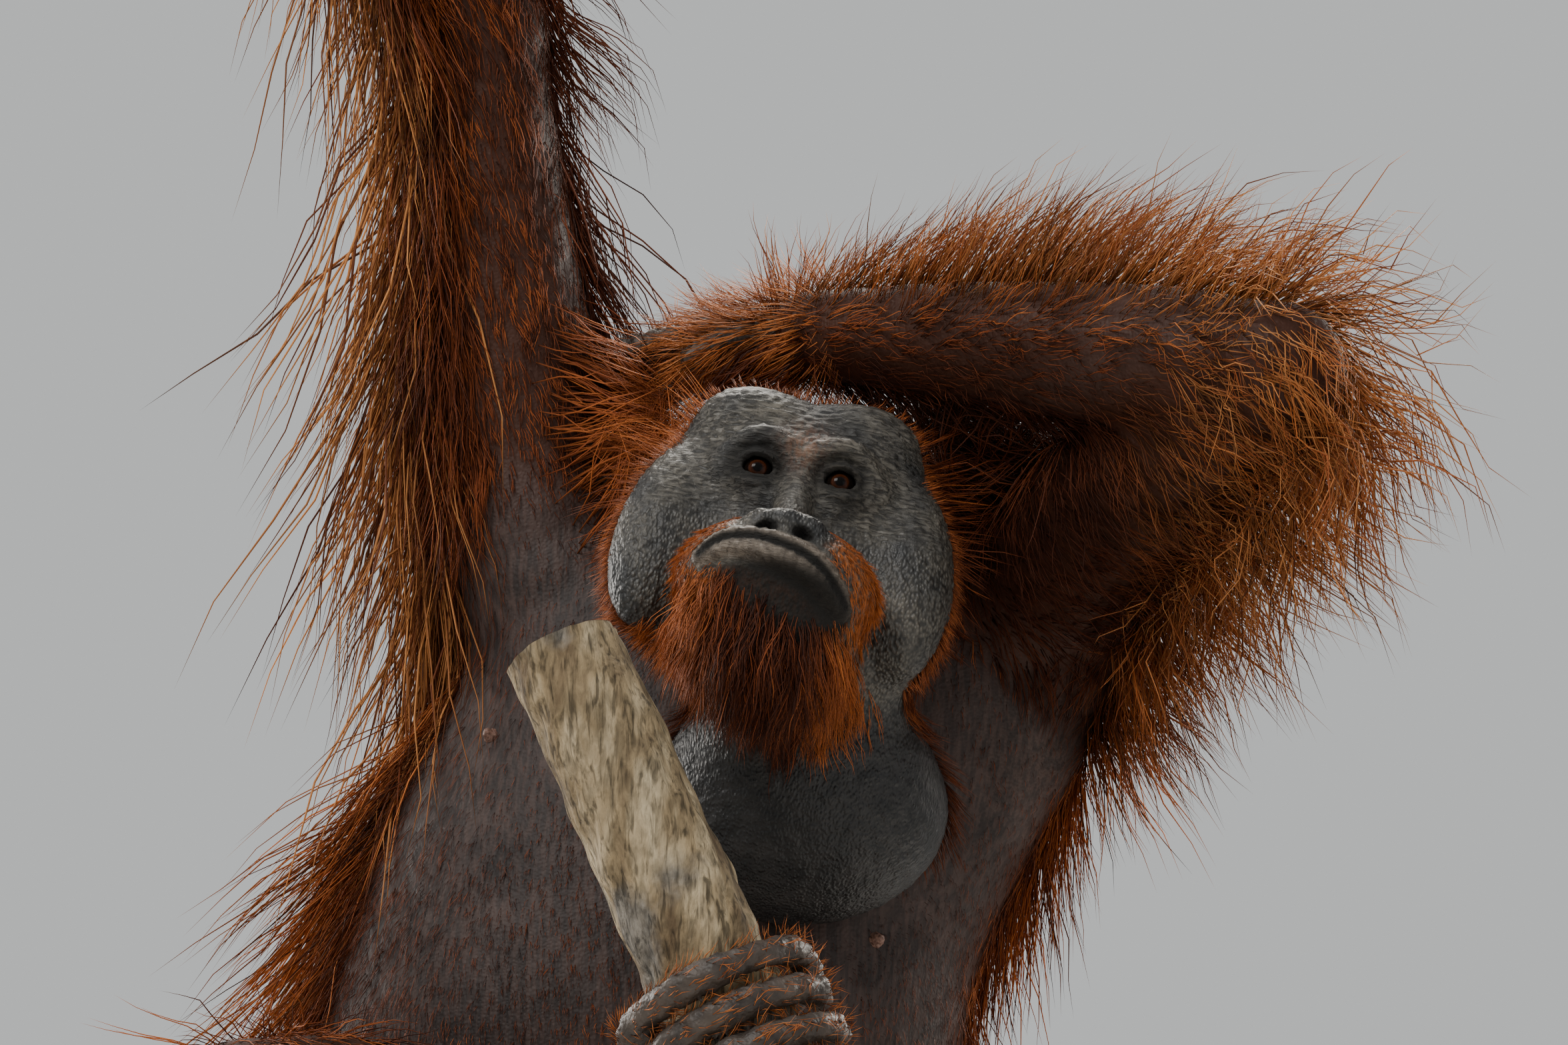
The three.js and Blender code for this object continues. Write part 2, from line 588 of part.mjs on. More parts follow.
// Every part gives its core; an earlier one cuts the later ones, and all cores cut every coat.
const CORES = {
  eye_r: () => eye(-1),
  eye_l: () => eye(1),
  head,
  perch_lower: (grow = 0) => perch('lower', grow),
  perch_upper: (grow = 0) => perch('upper', grow),
  torso,
  throat_sac: throatSac,
  neck,
  ear_r: (grow = 0) => ear(-1, grow),
  ear_l: (grow = 0) => ear(1, grow),
  upper_arm_r: limb('upper_arm_r'),
  upper_arm_l: limb('upper_arm_l'),
  forearm_r: limb('forearm_r'),
  forearm_l: limb('forearm_l'),
  thigh_r: limb('thigh_r'),
  thigh_l: limb('thigh_l'),
  shin_r: limb('shin_r'),
  shin_l: limb('shin_l'),
  hand_r,
  hand_l,
  foot_r,
  foot_l,
};

function near(a, b) {
  const [p, q] = [a.boundingBox(), b.boundingBox()];
  return [0, 1, 2].every((i) => p.min[i] <= q.max[i] && q.min[i] <= p.max[i]);
}

function cut(body, tools) {
  return tools.filter((tool) => near(tool, body)).reduce((left, tool) => left.subtract(tool), body);
}

function cutParts() {
  const names = Object.keys(CORES);
  const grown = Object.fromEntries(names.map((name) => [name, CORES[name](GAP)]));
  const grownCoats = {};
  const parts = {};
  for (const [i, name] of names.entries()) {
    const earlier = names.slice(0, i).filter((other) => !other.startsWith('eye'));
    const tools = name.startsWith('eye') ? [] : earlier.map((other) => grown[other]);
    let body = cut(CORES[name](), tools);
    const hair = coat(name);
    if (hair) {
      const others = names.filter((other) => other !== name).map((other) => grown[other]);
      body = body.add(cut(hair, [...others, ...Object.values(grownCoats)]));
      grownCoats[name] = coat(name, GAP);
    }
    parts[name] = largest(body);
  }
  return parts;
}

const BODY_ROD_AT = [-120, 100];
const PERCH_ROD_AT = [PERCH.lower.from.x - 6, PERCH.lower.from.y];
const parts = cutParts();
parts.stand_base = base();
parts.stand_rod_body = largest(rod(...BODY_ROD_AT, 760).subtract(torso(GAP)));
parts.stand_rod_perch = largest(rod(...PERCH_ROD_AT, 600).subtract(perch('lower', GAP)));

const LOOKS = {
  eye: { color: 0x5a2c12, roughness: 0.1 },
  head: { color: 0x3b3a37, roughness: 0.6 },
  ear: { color: 0x3b3432, roughness: 0.65 },
  throat: { color: 0x423a38, roughness: 0.65 },
  hand: { color: 0x4a4441, roughness: 0.65 },
  foot: { color: 0x4a4441, roughness: 0.65 },
  perch: { color: 0xb8a173, roughness: 0.85 },
  stand: { color: 0x2b2b2d, roughness: 0.5 },
};
const COAT_LOOK = { color: 0x8c330f, roughness: 0.75 };

const orangutan = new THREE.Group();
for (const [name, body] of Object.entries(parts)) {
  const { vertProperties, triVerts } = body.getMesh();
  const geometry = new THREE.BufferGeometry();
  geometry.setAttribute('position', new THREE.Float32BufferAttribute(vertProperties, 3));
  geometry.setIndex(new THREE.Uint32BufferAttribute(triVerts, 1));
  const look = LOOKS[name.split('_')[0]] ?? COAT_LOOK;
  const mesh = new THREE.Mesh(geometry, new THREE.MeshStandardMaterial({ ...look, metalness: 0 }));
  mesh.name = name;
  orangutan.add(mesh);
}

export default orangutan;
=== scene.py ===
import itertools
import math

import bpy
import numpy as np
from mathutils import Matrix, Vector


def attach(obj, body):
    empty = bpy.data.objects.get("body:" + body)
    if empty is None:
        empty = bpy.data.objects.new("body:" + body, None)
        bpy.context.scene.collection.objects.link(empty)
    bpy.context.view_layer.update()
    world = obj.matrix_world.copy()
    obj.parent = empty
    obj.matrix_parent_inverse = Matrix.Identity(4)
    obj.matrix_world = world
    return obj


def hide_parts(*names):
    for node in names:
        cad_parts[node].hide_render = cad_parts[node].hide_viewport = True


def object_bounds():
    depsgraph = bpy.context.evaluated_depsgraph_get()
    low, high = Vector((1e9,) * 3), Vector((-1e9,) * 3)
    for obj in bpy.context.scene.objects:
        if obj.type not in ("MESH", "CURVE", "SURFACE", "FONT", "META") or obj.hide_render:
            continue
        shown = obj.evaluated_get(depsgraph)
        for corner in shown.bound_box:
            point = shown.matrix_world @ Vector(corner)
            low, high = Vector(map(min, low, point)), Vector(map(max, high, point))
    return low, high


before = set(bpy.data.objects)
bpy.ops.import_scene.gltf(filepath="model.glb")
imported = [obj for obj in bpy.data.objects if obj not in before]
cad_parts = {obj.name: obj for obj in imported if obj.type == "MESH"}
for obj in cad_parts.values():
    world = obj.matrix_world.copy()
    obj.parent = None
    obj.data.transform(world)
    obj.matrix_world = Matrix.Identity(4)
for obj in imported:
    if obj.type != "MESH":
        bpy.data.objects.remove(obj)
cad_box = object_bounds()

# Lengths are millimetres in the shape code below; MM turns them to metres when a mesh is made.
MM = 0.001
DOWN = np.array([0.0, 0.0, -1.0])
# Beyond this a small feature's field no longer matters to a smooth union.
FAR = 45.0


# Vectors and smooth distance fields. A field takes an (n, 3) array of points and gives n distances.
def unit(v):
    return v / (np.linalg.norm(v, axis=-1, keepdims=True) + 1e-12)


def turned(v, axis, degrees):
    """v turned about a unit axis by the right-hand rule."""
    a = math.radians(degrees)
    v, axis = np.asarray(v, float), np.asarray(axis, float)
    return v * math.cos(a) + np.cross(axis, v) * math.sin(a) + axis * (axis @ v) * (1 - math.cos(a))


def blend(a, b, k):
    """Smooth union with a fillet of about k."""
    h = np.maximum(k - np.abs(a - b), 0.0)
    return np.minimum(a, b) - h * h / (4 * k)


def carve(a, b, k):
    """a with b smoothly cut away."""
    h = np.maximum(k - np.abs(a + b), 0.0)
    return np.maximum(a, -b) + h * h / (4 * k)


def egg(p, centre, radii, lean=0.0):
    q = p - np.asarray(centre, float)
    if lean:
        c, s = math.cos(math.radians(lean)), math.sin(math.radians(lean))
        q = np.stack([c * q[:, 0] - s * q[:, 2], q[:, 1], s * q[:, 0] + c * q[:, 2]], 1)
    r = np.asarray(radii, float)
    near = np.linalg.norm(q / r, axis=1)
    steep = np.linalg.norm(q / (r * r), axis=1) + 1e-9
    return near * (near - 1) / steep


def rod(p, a, b, ra, rb):
    a, b = np.asarray(a, float), np.asarray(b, float)
    run = b - a
    t = np.clip((p - a) @ run / (run @ run), 0, 1)
    return np.linalg.norm(p - a - t[:, None] * run, axis=1) - (ra + (rb - ra) * t)


def spline(stations, steps):
    """Catmull-Rom samples through rows of numbers, steps to each span."""
    s = np.asarray(stations, float)
    s = np.vstack([2 * s[0] - s[1], s, 2 * s[-1] - s[-2]])
    rows = []
    for i in range(1, len(s) - 2):
        a, b, c, d = s[i - 1:i + 3]
        for t in np.linspace(0, 1, steps, endpoint=False):
            rows.append(0.5 * (2 * b + (c - a) * t + (2 * a - 5 * b + 4 * c - d) * t ** 2
                               + (3 * b - a - 3 * c + d) * t ** 3))
    rows.append(s[-2])
    return np.array(rows)


def tube(p, stations, steps=3):
    """Distance to a round tube through [x, y, z, radius] stations."""
    rows = spline(stations, steps)
    d = None
    for a, b in zip(rows[:-1], rows[1:]):
        piece = rod(p, a[:3], b[:3], a[3], b[3])
        d = piece if d is None else np.minimum(d, piece)
    return d


def within(p, centre, reach, field):
    """field(p) inside a sphere of the given reach, and a large distance outside it."""
    gap = np.linalg.norm(p - np.asarray(centre, float), axis=1) - reach
    d = np.maximum(gap, 0) + FAR
    near = gap < 0
    if near.any():
        d[near] = field(p[near])
    return d


def boxed(p, rows, field, reach=FAR):
    """field(p) near the box round [x, y, z, radius] rows, and the distance to the box elsewhere."""
    rows = np.asarray(rows, float)
    low, high = (rows[:, :3] - rows[:, 3:4]).min(0), (rows[:, :3] + rows[:, 3:4]).max(0)
    gap = np.linalg.norm(np.maximum(np.maximum(low - p, p - high), 0), axis=1)
    near = gap < reach
    d = gap + reach / 2
    if near.any():
        d[near] = field(p[near])
    return d


# The head's frame: face to -Y, +Z up, 0 midway between the eyes. The same tilt, turn and lean as the solids.
HEAD_SIZE = 1.09
EYES_AT = np.array([40.0, -211.0, 1327.0])
HEAD_LIFT, HEAD_TURN, HEAD_LEAN = 13, 2, 10
CAMERA_RISE = 22
SIGHT = np.array([0, math.cos(math.radians(CAMERA_RISE)), math.sin(math.radians(CAMERA_RISE))])
SIGHT_UP = np.array([0, -math.sin(math.radians(CAMERA_RISE)), math.cos(math.radians(CAMERA_RISE))])


def head_axis(v):
    v = turned(v, [1, 0, 0], -HEAD_LIFT)
    v = turned(v, SIGHT_UP, -HEAD_TURN)
    return turned(v, SIGHT, HEAD_LEAN)


HEAD_AXES = np.array([head_axis(v) for v in np.eye(3)])


def to_head(p):
    return (p - EYES_AT) @ HEAD_AXES.T / HEAD_SIZE


def from_head(q):
    return np.asarray(q, float) @ HEAD_AXES * HEAD_SIZE + EYES_AT


def mirrored(q):
    """Head-frame points with x made positive, for the forms that both sides share."""
    m = q.copy()
    m[:, 0] = np.abs(m[:, 0])
    return m


EYE_ACROSS, EYE_RADIUS = 27.0, 12.0
MOUTH = [
    [-50, -44, -102], [-41, -53, -96], [-28, -59, -93.5], [-14, -62.5, -94.5], [0, -64, -97.5],
    [15, -62, -101], [28, -57, -107], [38, -47.5, -114], [46, -37, -119.5],
]
UPPER_LIP = {"rise": 4.6, "radius": 4.7}
LOWER_LIP = {"rise": -6.4, "radius": 6.7}
MOUTH_MIDDLE, MOUTH_REACH = (0, -46, -104), 88
SLIT_RADIUS, SLIT_FORWARD = 1.5, 6.0


def lip_rows(rise, radius):
    """Stations of a tube beside the mouth line, rise above it and square to it, thinner to the corners."""
    line = np.array(MOUTH, float)
    run = np.gradient(line[:, [0, 2]], axis=0)
    run /= np.linalg.norm(run, axis=1, keepdims=True)
    full = np.sin(math.pi * (np.arange(len(line)) + 0.6) / (len(line) + 0.2)) ** 0.5
    line[:, 0] -= run[:, 1] * rise * full
    line[:, 2] += run[:, 0] * rise * full
    return np.column_stack([line, radius * full])


def lip(q, rise, radius):
    rows = lip_rows(rise, radius)
    return within(q, MOUTH_MIDDLE, MOUTH_REACH, lambda p: tube(p, rows, 2))


def lips_gap(q):
    """Distance to the nearer lip."""
    return np.minimum(lip(q, **UPPER_LIP), lip(q, **LOWER_LIP))


def over_mouth(q):
    """Height over the mouth line."""
    x, _, z = np.array(MOUTH).T
    return q[:, 2] - np.interp(q[:, 0], x, z)


def mouth_slit(q):
    rows = [[x * 1.03, y - SLIT_FORWARD, z, SLIT_RADIUS] for x, y, z in MOUTH]
    return within(q, MOUTH_MIDDLE, MOUTH_REACH, lambda p: tube(p, rows, 2))


NOSTRIL = {"centre": (12, -62, -82), "radii": (6.8, 9, 4.5), "lean": 18}


def lids(q, d):
    """Sockets, lids with an almond opening, and the folds round them. q has x mirrored to be positive."""
    d = carve(d, egg(q, (EYE_ACROSS, -17, 1), (18, 15, 13)), 6)
    from_eye = q - np.array([EYE_ACROSS, 0, 0])
    out = np.linalg.norm(from_eye, axis=1)
    shell = np.maximum(np.abs(out - 13.8) - 1.7, from_eye[:, 1] - 6)
    upper = np.maximum(np.abs(out - 15.2) - 1.6, 6.2 - from_eye[:, 2] - 0.02 * from_eye[:, 0] ** 2)
    upper = np.maximum(upper, from_eye[:, 1] - 3)
    shell = blend(shell, upper, 2)
    opening = egg(q, (EYE_ACROSS, -14, -1.0), (12.2, 10, 7.2))
    shell = carve(shell, opening, 1.5)
    bag = tube(q, [[16, -9, -10, 1.6], [22, -11.5, -14.5, 2.6], [31, -11, -15, 2.8], [40, -7, -11, 1.8]], 2)
    shell = blend(shell, bag, 4)
    return blend(d, shell, 3)


def with_lids(q, d):
    near = np.linalg.norm(q - np.array([EYE_ACROSS, -5, 0]), axis=1) < FAR
    if near.any():
        d = d.copy()
        d[near] = lids(q[near], d[near])
    return d


def brow(q):
    """The ridge over an eye, and the bag that runs down from its outer end."""
    ridge = tube(q, [[4, -5, 15, 6], [16, -10, 21, 6.5], [28, -11, 24, 6.5], [40, -7, 20, 6], [50, 3, 6, 5]], 2)
    return blend(ridge, rod(q, (49, 2, 0), (24, -5, -20), 5, 5), 12)


# Bulges as (centre, radii, lean, fillet), in the order in which they are blended in.
CRANIUM = ((0, 92, 8), (76, 94, 74))
BALD_FACE = [
    ((0, 34, 18), (88, 38, 62), 0, 30),
    ((0, 38, -58), (106, 40, 76), 0, 30),
    ((36, 24, 52), (38, 26, 29), 0, 12),
    ((82, 22, -48), (28, 24, 68), -4, 16),
]
NOSE_BRIDGE = ((0, -4, 2), (0, -20, -48), 8, 13)
MUZZLE = [((0, -16, -95), (64, 48, 41), 0, 12), ((0, 0, -128), (58, 46, 36), 0, 16)]
NOSE = [((13, -50, -72.5), (12, 11, 9), 0, 7), ((0, -52, -71), (8, 10.5, 9), 0, 8)]


def with_bulges(d, m, rows):
    for centre, radii, lean, fillet in rows:
        d = blend(d, egg(m, centre, radii, lean), fillet)
    return d


def nostril(m):
    return egg(m, NOSTRIL["centre"], NOSTRIL["radii"], NOSTRIL["lean"])


def face(q):
    """Head-frame distance to the cranium, bald face, cheek flanges, brow, nose, muzzle and lips."""
    m = mirrored(q)
    d = with_bulges(egg(m, *CRANIUM), m, BALD_FACE)
    d = blend(d, within(m, (28, -5, 8), 52, brow), 12)
    d = with_bulges(blend(d, rod(m, *NOSE_BRIDGE), 12), m, MUZZLE)
    d = with_bulges(with_lids(m, d), m, NOSE)
    d = carve(d, nostril(m), 3)
    d = carve(d, egg(m, (0, -67, -85), (9, 5, 2.6)), 4)
    d = blend(d, lip(q, **UPPER_LIP), 5)
    d = blend(d, lip(q, **LOWER_LIP), 5)
    d = carve(d, mouth_slit(q), 3)
    return d


def ear(q):
    m = mirrored(q)
    cup = egg(m, (91, 66, -2), (7, 16, 21))
    cup = carve(cup, egg(m, (98, 60, -2), (7, 9, 13)), 3)
    return cup


# The body: the stations of the solids' outer form, with the coat's depth taken off.
TORSO = [
    [-120, 100, 705, 95, 85], [-115, 95, 765, 172, 130], [-100, 82, 860, 222, 168], [-80, 75, 970, 248, 184],
    [-55, 70, 1080, 250, 176], [-20, 62, 1190, 246, 158], [12, 52, 1270, 228, 138], [32, 36, 1338, 178, 104],
]
SHOULDERS = [
    [[-60, 58, 1200, 115], [-112, 42, 1285, 108], [-152, 24, 1368, 88]],
    [[90, 55, 1150, 120], [165, 40, 1240, 109], [214, 14, 1312, 88]],
]
LIMBS = {
    "upper_arm_r": [[-152, 24, 1372, 82], [-176, -8, 1500, 80], [-192, -50, 1630, 69], [-200, -94, 1751, 58]],
    "forearm_r": [[-200, -94, 1751, 60], [-232, -142, 1826, 63], [-285, -215, 1935, 56], [-334, -273, 2024, 39]],
    "upper_arm_l": [[214, 16, 1318, 84], [262, -90, 1345, 81], [318, -205, 1362, 72], [369, -304, 1370, 60]],
    "forearm_l": [[369, -304, 1370, 60], [292, -245, 1406, 66], [165, -150, 1462, 58], [52, -70, 1504, 38]],
    "thigh_r": [[-210, 85, 795, 100], [-255, -10, 835, 95], [-300, -90, 862, 84], [-335, -160, 880, 66]],
    "shin_r": [[-335, -160, 880, 66], [-268, -188, 878, 64], [-182, -205, 852, 52], [-97, -218, 820, 42]],
    "thigh_l": [[-10, 90, 740, 100], [70, 40, 770, 93], [150, -20, 785, 84], [220, -70, 790, 66]],
    "shin_l": [[220, -70, 790, 66], [218, -120, 740, 62], [208, -182, 675, 52], [195, -235, 620, 42]],
}
COAT_DEPTH = 14.0
WRIST_COAT = 5.0
SAC_AT, SAC_SIZE = (40, -112, 1118), (106, 79, 83)
NECK = [[38, 40, 1262, 84], [44, -20, 1270, 82], [46, -80, 1262, 78]]
TORSO_ROWS = spline(TORSO, 8)


def trunk(p):
    x, y, a, b = (np.interp(p[:, 2], TORSO_ROWS[:, 2], TORSO_ROWS[:, i]) for i in (0, 1, 3, 4))
    a, b = a - COAT_DEPTH, b - COAT_DEPTH
    q = np.stack([(p[:, 0] - x) / a, (p[:, 1] - y) / b], 1)
    near = np.linalg.norm(q, axis=1)
    steep = np.linalg.norm(q / np.stack([a, b], 1), axis=1) + 1e-9
    d = near * (near - 1) / steep
    middle = (TORSO[0][2] + TORSO[-1][2]) / 2
    half = (TORSO[-1][2] - TORSO[0][2]) / 2 + 30
    return -blend(-d, half - np.abs(p[:, 2] - middle), 60)


def limb(p, name):
    rows = [[x, y, z, r - (WRIST_COAT if r < 45 else COAT_DEPTH)] for x, y, z, r in LIMBS[name]]
    return boxed(p, rows, lambda near: tube(near, rows, 3))


def body(p):
    d = trunk(p)
    for rows in SHOULDERS:
        thinner = [[x, y, z, r - COAT_DEPTH] for x, y, z, r in rows]
        d = blend(d, boxed(p, thinner, lambda near: tube(near, thinner, 2)), 40)
    for side in "rl":
        arm = blend(limb(p, "upper_arm_" + side), limb(p, "forearm_" + side), 10)
        leg = blend(limb(p, "thigh_" + side), limb(p, "shin_" + side), 10)
        d = blend(d, blend(arm, leg, 5), 26)
    return blend(d, tube(p, NECK, 2), 30)


def throat(p):
    return egg(p, SAC_AT, SAC_SIZE)


def head_and_throat(p):
    q = to_head(p)
    d = blend(face(q) * HEAD_SIZE, throat(p), 80)
    d = blend(d, ear(q) * HEAD_SIZE, 4)
    return blend(d, boxed(p, NECK, lambda near: tube(near, NECK, 2)), 20)


# Hands and feet.
PERCH_RADIUS = 43.0
PERCH = {
    "lower": (np.array([151.0, -319, 560]), np.array([-119.0, -319, 1160])),
    "upper": (np.array([-351.0, -315, 1955]), np.array([-389.0, -315, 2225])),
}
FINGER = {"radius": 12.5, "tip": 10.0, "sweep": 205.0, "pitch": 25.5, "thumb": 130.0}
GRIPS = {
    "hand_r": ("upper", [-334, -273, 2024], 140, 1),
    "foot_r": ("lower", [-97, -218, 820], 356, 1),
    "foot_l": ("lower", [195, -235, 620], 150, -1),
}


def grip_lines(name):
    """The palm's and the fingers' stations of a hand or foot round a perch, and each finger's nail."""
    perch, wrist, height, turn = GRIPS[name]
    low, high = PERCH[perch]
    axis = unit(high - low)
    middle = low + axis * height
    wrist = np.array(wrist, float)
    out = wrist - middle
    out = unit(out - axis * (out @ axis))
    around = np.cross(axis, out) * turn
    hold = PERCH_RADIUS + 3 + FINGER["radius"]

    def on_ring(angle, reach, lift):
        a = math.radians(angle)
        return middle + out * math.cos(a) * reach + around * math.sin(a) * reach + axis * lift

    def finger(start, sweep, lift, slope, size):
        rows = []
        for step in range(11):
            t = step / 10
            knuckle = 1 + 0.07 * math.cos(2 * math.pi * (t * 2.6 - 0.35))
            radius = (FINGER["radius"] + (FINGER["tip"] - FINGER["radius"]) * t) * size * knuckle
            rows.append([*on_ring(start + sweep * t, hold + 3 * (1 - t), lift + slope * t), radius - 0.6])
        tip = start + sweep * 0.97
        outward = unit(on_ring(tip, 2, 0) - on_ring(tip, 1, 0))
        onward = unit(on_ring(start + sweep, 1, 0) - on_ring(start + sweep * 0.94, 1, 0))
        nail = (np.array(rows[-1][:3]), outward, onward, FINGER["tip"] * size)
        return rows, nail

    heel = on_ring(0, hold + 12, 0)
    bend = wrist + (heel - wrist) * 0.55
    palm = [[*wrist, 31], [*bend, 31], [*heel, 25], [*on_ring(24, hold + 5, 0), 18]]
    edges = [[*(heel + axis * s * 19), 23] for s in (-1, 1)]
    lines = []
    for k in range(4):
        lift = (k - 1.5) * FINGER["pitch"]
        lines.append(finger(16, FINGER["sweep"] + 4 - 12 * abs(k - 1.6), lift, lift * 0.1, 1.0))
    lines.append(finger(-8, -FINGER["thumb"] - 4, 20, 14, 1.12))
    return palm, edges, lines


NAPE_ACROSS = np.array([0.6, 0.8, 0.0])
NAPE_KNUCKLES = np.array([-34.0, -6.0, 1517.0])


def nape_lines():
    palm = [[52, -70, 1504, 30], [12, -38, 1514, 26], [-30, -6, 1516, 21]]
    edges = [[*(np.array([-12, -20, 1515]) + NAPE_ACROSS * s * 20), 20] for s in (-1, 1)]
    lines = []
    for k in range(4):
        root = NAPE_KNUCKLES + NAPE_ACROSS * (k - 1.5) * 23
        reach = 1 - 0.06 * abs(k - 1.6)
        rows = [[*(root + np.array([x * reach, y * reach, z])), r - 0.6] for x, y, z, r in
                [[0, 0, 0, 12.5], [-38, 22, -2, 12.8], [-70, 42, -17, 11.6], [-90, 56, -41, 9.5]]]
        onward = unit(np.array(rows[-1][:3]) - np.array(rows[-2][:3]))
        outward = unit(np.cross(onward, NAPE_ACROSS))
        outward = outward * np.sign(outward[2] - outward[0])
        lines.append((rows, (np.array(rows[-1][:3]), outward, onward, 9.5)))
    thumb = [[24, -74, 1506, 13], [-8, -74, 1500, 12.8], [-38, -68, 1486, 10.4]]
    lines.append((thumb, (np.array(thumb[-1][:3]), np.array([0, -1.0, 0]), unit(np.array([-30.0, 6, -16])), 10.4)))
    return palm, edges, lines


def hand_field(parts):
    palm, edges, lines = parts

    def field(p):
        d = tube(p, palm, 3)
        for x, y, z, r in edges:
            d = blend(d, np.linalg.norm(p - np.array([x, y, z]), axis=1) - r, 16)
        for rows, _ in lines:
            d = blend(d, boxed(p, rows, lambda near: tube(near, rows, 1), 16), 7)
        return d
    return field


# Surface of a field: a dual mesh with one vertex to a cell, drawn on to the surface. Only blocks near it are filled.
BLOCK = 6


def near_grid(field, low, blocks, step):
    size = blocks * BLOCK + 1
    corners = np.stack(np.meshgrid(*[np.arange(n + 1) for n in blocks], indexing="ij"), -1)
    coarse = field((corners.reshape(-1, 3) * BLOCK * step + low)).reshape(blocks + 1)
    sign = np.where(coarse[:-1, :-1, :-1] < 0, -1e3, 1e3)
    grid = np.ones(size) * 1e3
    filled = sign.repeat(BLOCK, 0).repeat(BLOCK, 1).repeat(BLOCK, 2)
    grid[:-1, :-1, :-1] = filled
    closest = np.full(blocks, 1e9)
    inside = np.zeros(blocks, int)
    for i, j, k in itertools.product((0, 1), repeat=3):
        part = coarse[i:i + blocks[0], j:j + blocks[1], k:k + blocks[2]]
        closest = np.minimum(closest, np.abs(part))
        inside += part < 0
    mixed = (inside > 0) & (inside < 8)
    chosen = np.argwhere(mixed | (closest < BLOCK * step * 1.1))
    local = np.stack(np.meshgrid(*[np.arange(BLOCK + 1)] * 3, indexing="ij"), -1).reshape(-1, 3)
    for start in range(0, len(chosen), 600):
        index = (chosen[start:start + 600, None] * BLOCK + local).reshape(-1, 3)
        grid[tuple(index.T)] = field(index * step + low)
    return grid


def surface(field, low, high, step):
    """Vertices, quads and outward normals of the field's zero surface in the box."""
    low, high = np.asarray(low, float), np.asarray(high, float)
    blocks = np.ceil((high - low) / (step * BLOCK)).astype(int)
    grid = near_grid(field, low, blocks, step)
    cells = np.array(grid.shape) - 1
    spots, owners, quads = [], [], []
    for axis in range(3):
        first = [slice(None)] * 3
        second = [slice(None)] * 3
        first[axis], second[axis] = slice(0, -1), slice(1, None)
        a, b = grid[tuple(first)], grid[tuple(second)]
        crossing = (a < 0) != (b < 0)
        index = np.argwhere(crossing)
        fa, fb = a[crossing], b[crossing]
        spot = index.astype(float)
        spot[:, axis] += fa / (fa - fb)
        u, v = (axis + 1) % 3, (axis + 2) % 3
        around = []
        for du, dv in ((-1, -1), (0, -1), (0, 0), (-1, 0)):
            cell = index.copy()
            cell[:, u] += du
            cell[:, v] += dv
            valid = np.all((cell >= 0) & (cell < cells), axis=1)
            key = np.where(valid, np.ravel_multi_index(np.clip(cell, 0, cells - 1).T, cells), -1)
            around.append(key)
            spots.append(spot[valid])
            owners.append(key[valid])
        quad = np.stack(around, 1)
        quad[fa >= 0] = quad[fa >= 0][:, ::-1]
        quads.append(quad[np.all(quad >= 0, axis=1)])
    spots, owners, quads = np.vstack(spots), np.concatenate(owners), np.vstack(quads)
    keys, inverse = np.unique(owners, return_inverse=True)
    count = np.bincount(inverse)
    points = np.stack([np.bincount(inverse, spots[:, i]) / count for i in range(3)], 1) * step + low
    slope = gradient(field, points, step * 0.35)
    length = np.linalg.norm(slope, axis=1, keepdims=True) + 1e-6
    shift = field(points)[:, None] * slope / length ** 2
    points -= np.clip(shift, -step, step)
    return points, np.searchsorted(keys, quads), unit(gradient(field, points, step * 0.35))


CORNERS = np.array([[1, -1, -1], [-1, -1, 1], [-1, 1, -1], [1, 1, 1]], float)


def gradient(field, points, reach=1.0):
    """The field's slope, from four corners of a small tetrahedron."""
    return sum(corner * field(points + corner * reach)[:, None] for corner in CORNERS) / (4 * reach)


# Smooth random wobble from a few seeded sine waves, of about the given wavelength.
def wobble(p, wave, seed, waves=14):
    rng = np.random.default_rng(seed)
    total = np.zeros(len(p))
    for _ in range(waves):
        way = unit(rng.normal(size=3)) * rng.uniform(0.6, 1.5)
        total += np.sin(p @ way * 2 * math.pi / wave + rng.uniform(0, 2 * math.pi))
    return total / math.sqrt(waves / 2)


# Meshes and materials.
def new_mesh(name, points, faces):
    """An object from points in millimetres and an (n, 3) or (n, 4) array of faces."""
    mesh = bpy.data.meshes.new(name)
    sides = faces.shape[1]
    mesh.vertices.add(len(points))
    mesh.vertices.foreach_set("co", (np.asarray(points) * MM).astype(np.float32).ravel())
    mesh.loops.add(faces.size)
    mesh.loops.foreach_set("vertex_index", faces.astype(np.int32).ravel())
    mesh.polygons.add(len(faces))
    mesh.polygons.foreach_set("loop_start", np.arange(0, faces.size, sides, dtype=np.int32))
    mesh.polygons.foreach_set("use_smooth", np.full(len(faces), True))
    mesh.update(calc_edges=True)
    obj = bpy.data.objects.new(name, mesh)
    bpy.context.scene.collection.objects.link(obj)
    return obj


def band_quads(bands, around):
    """Quads between rings of points, around to a ring."""
    a = np.arange(bands * around)
    b = a - a % around + (a + 1) % around
    return np.stack([a, b, b + around, a + around], 1)


def mark(obj, name, values):
    """A number on every vertex, for the material."""
    layer = obj.data.attributes.new(name, "FLOAT", "POINT")
    layer.data.foreach_set("value", np.asarray(values, np.float32))


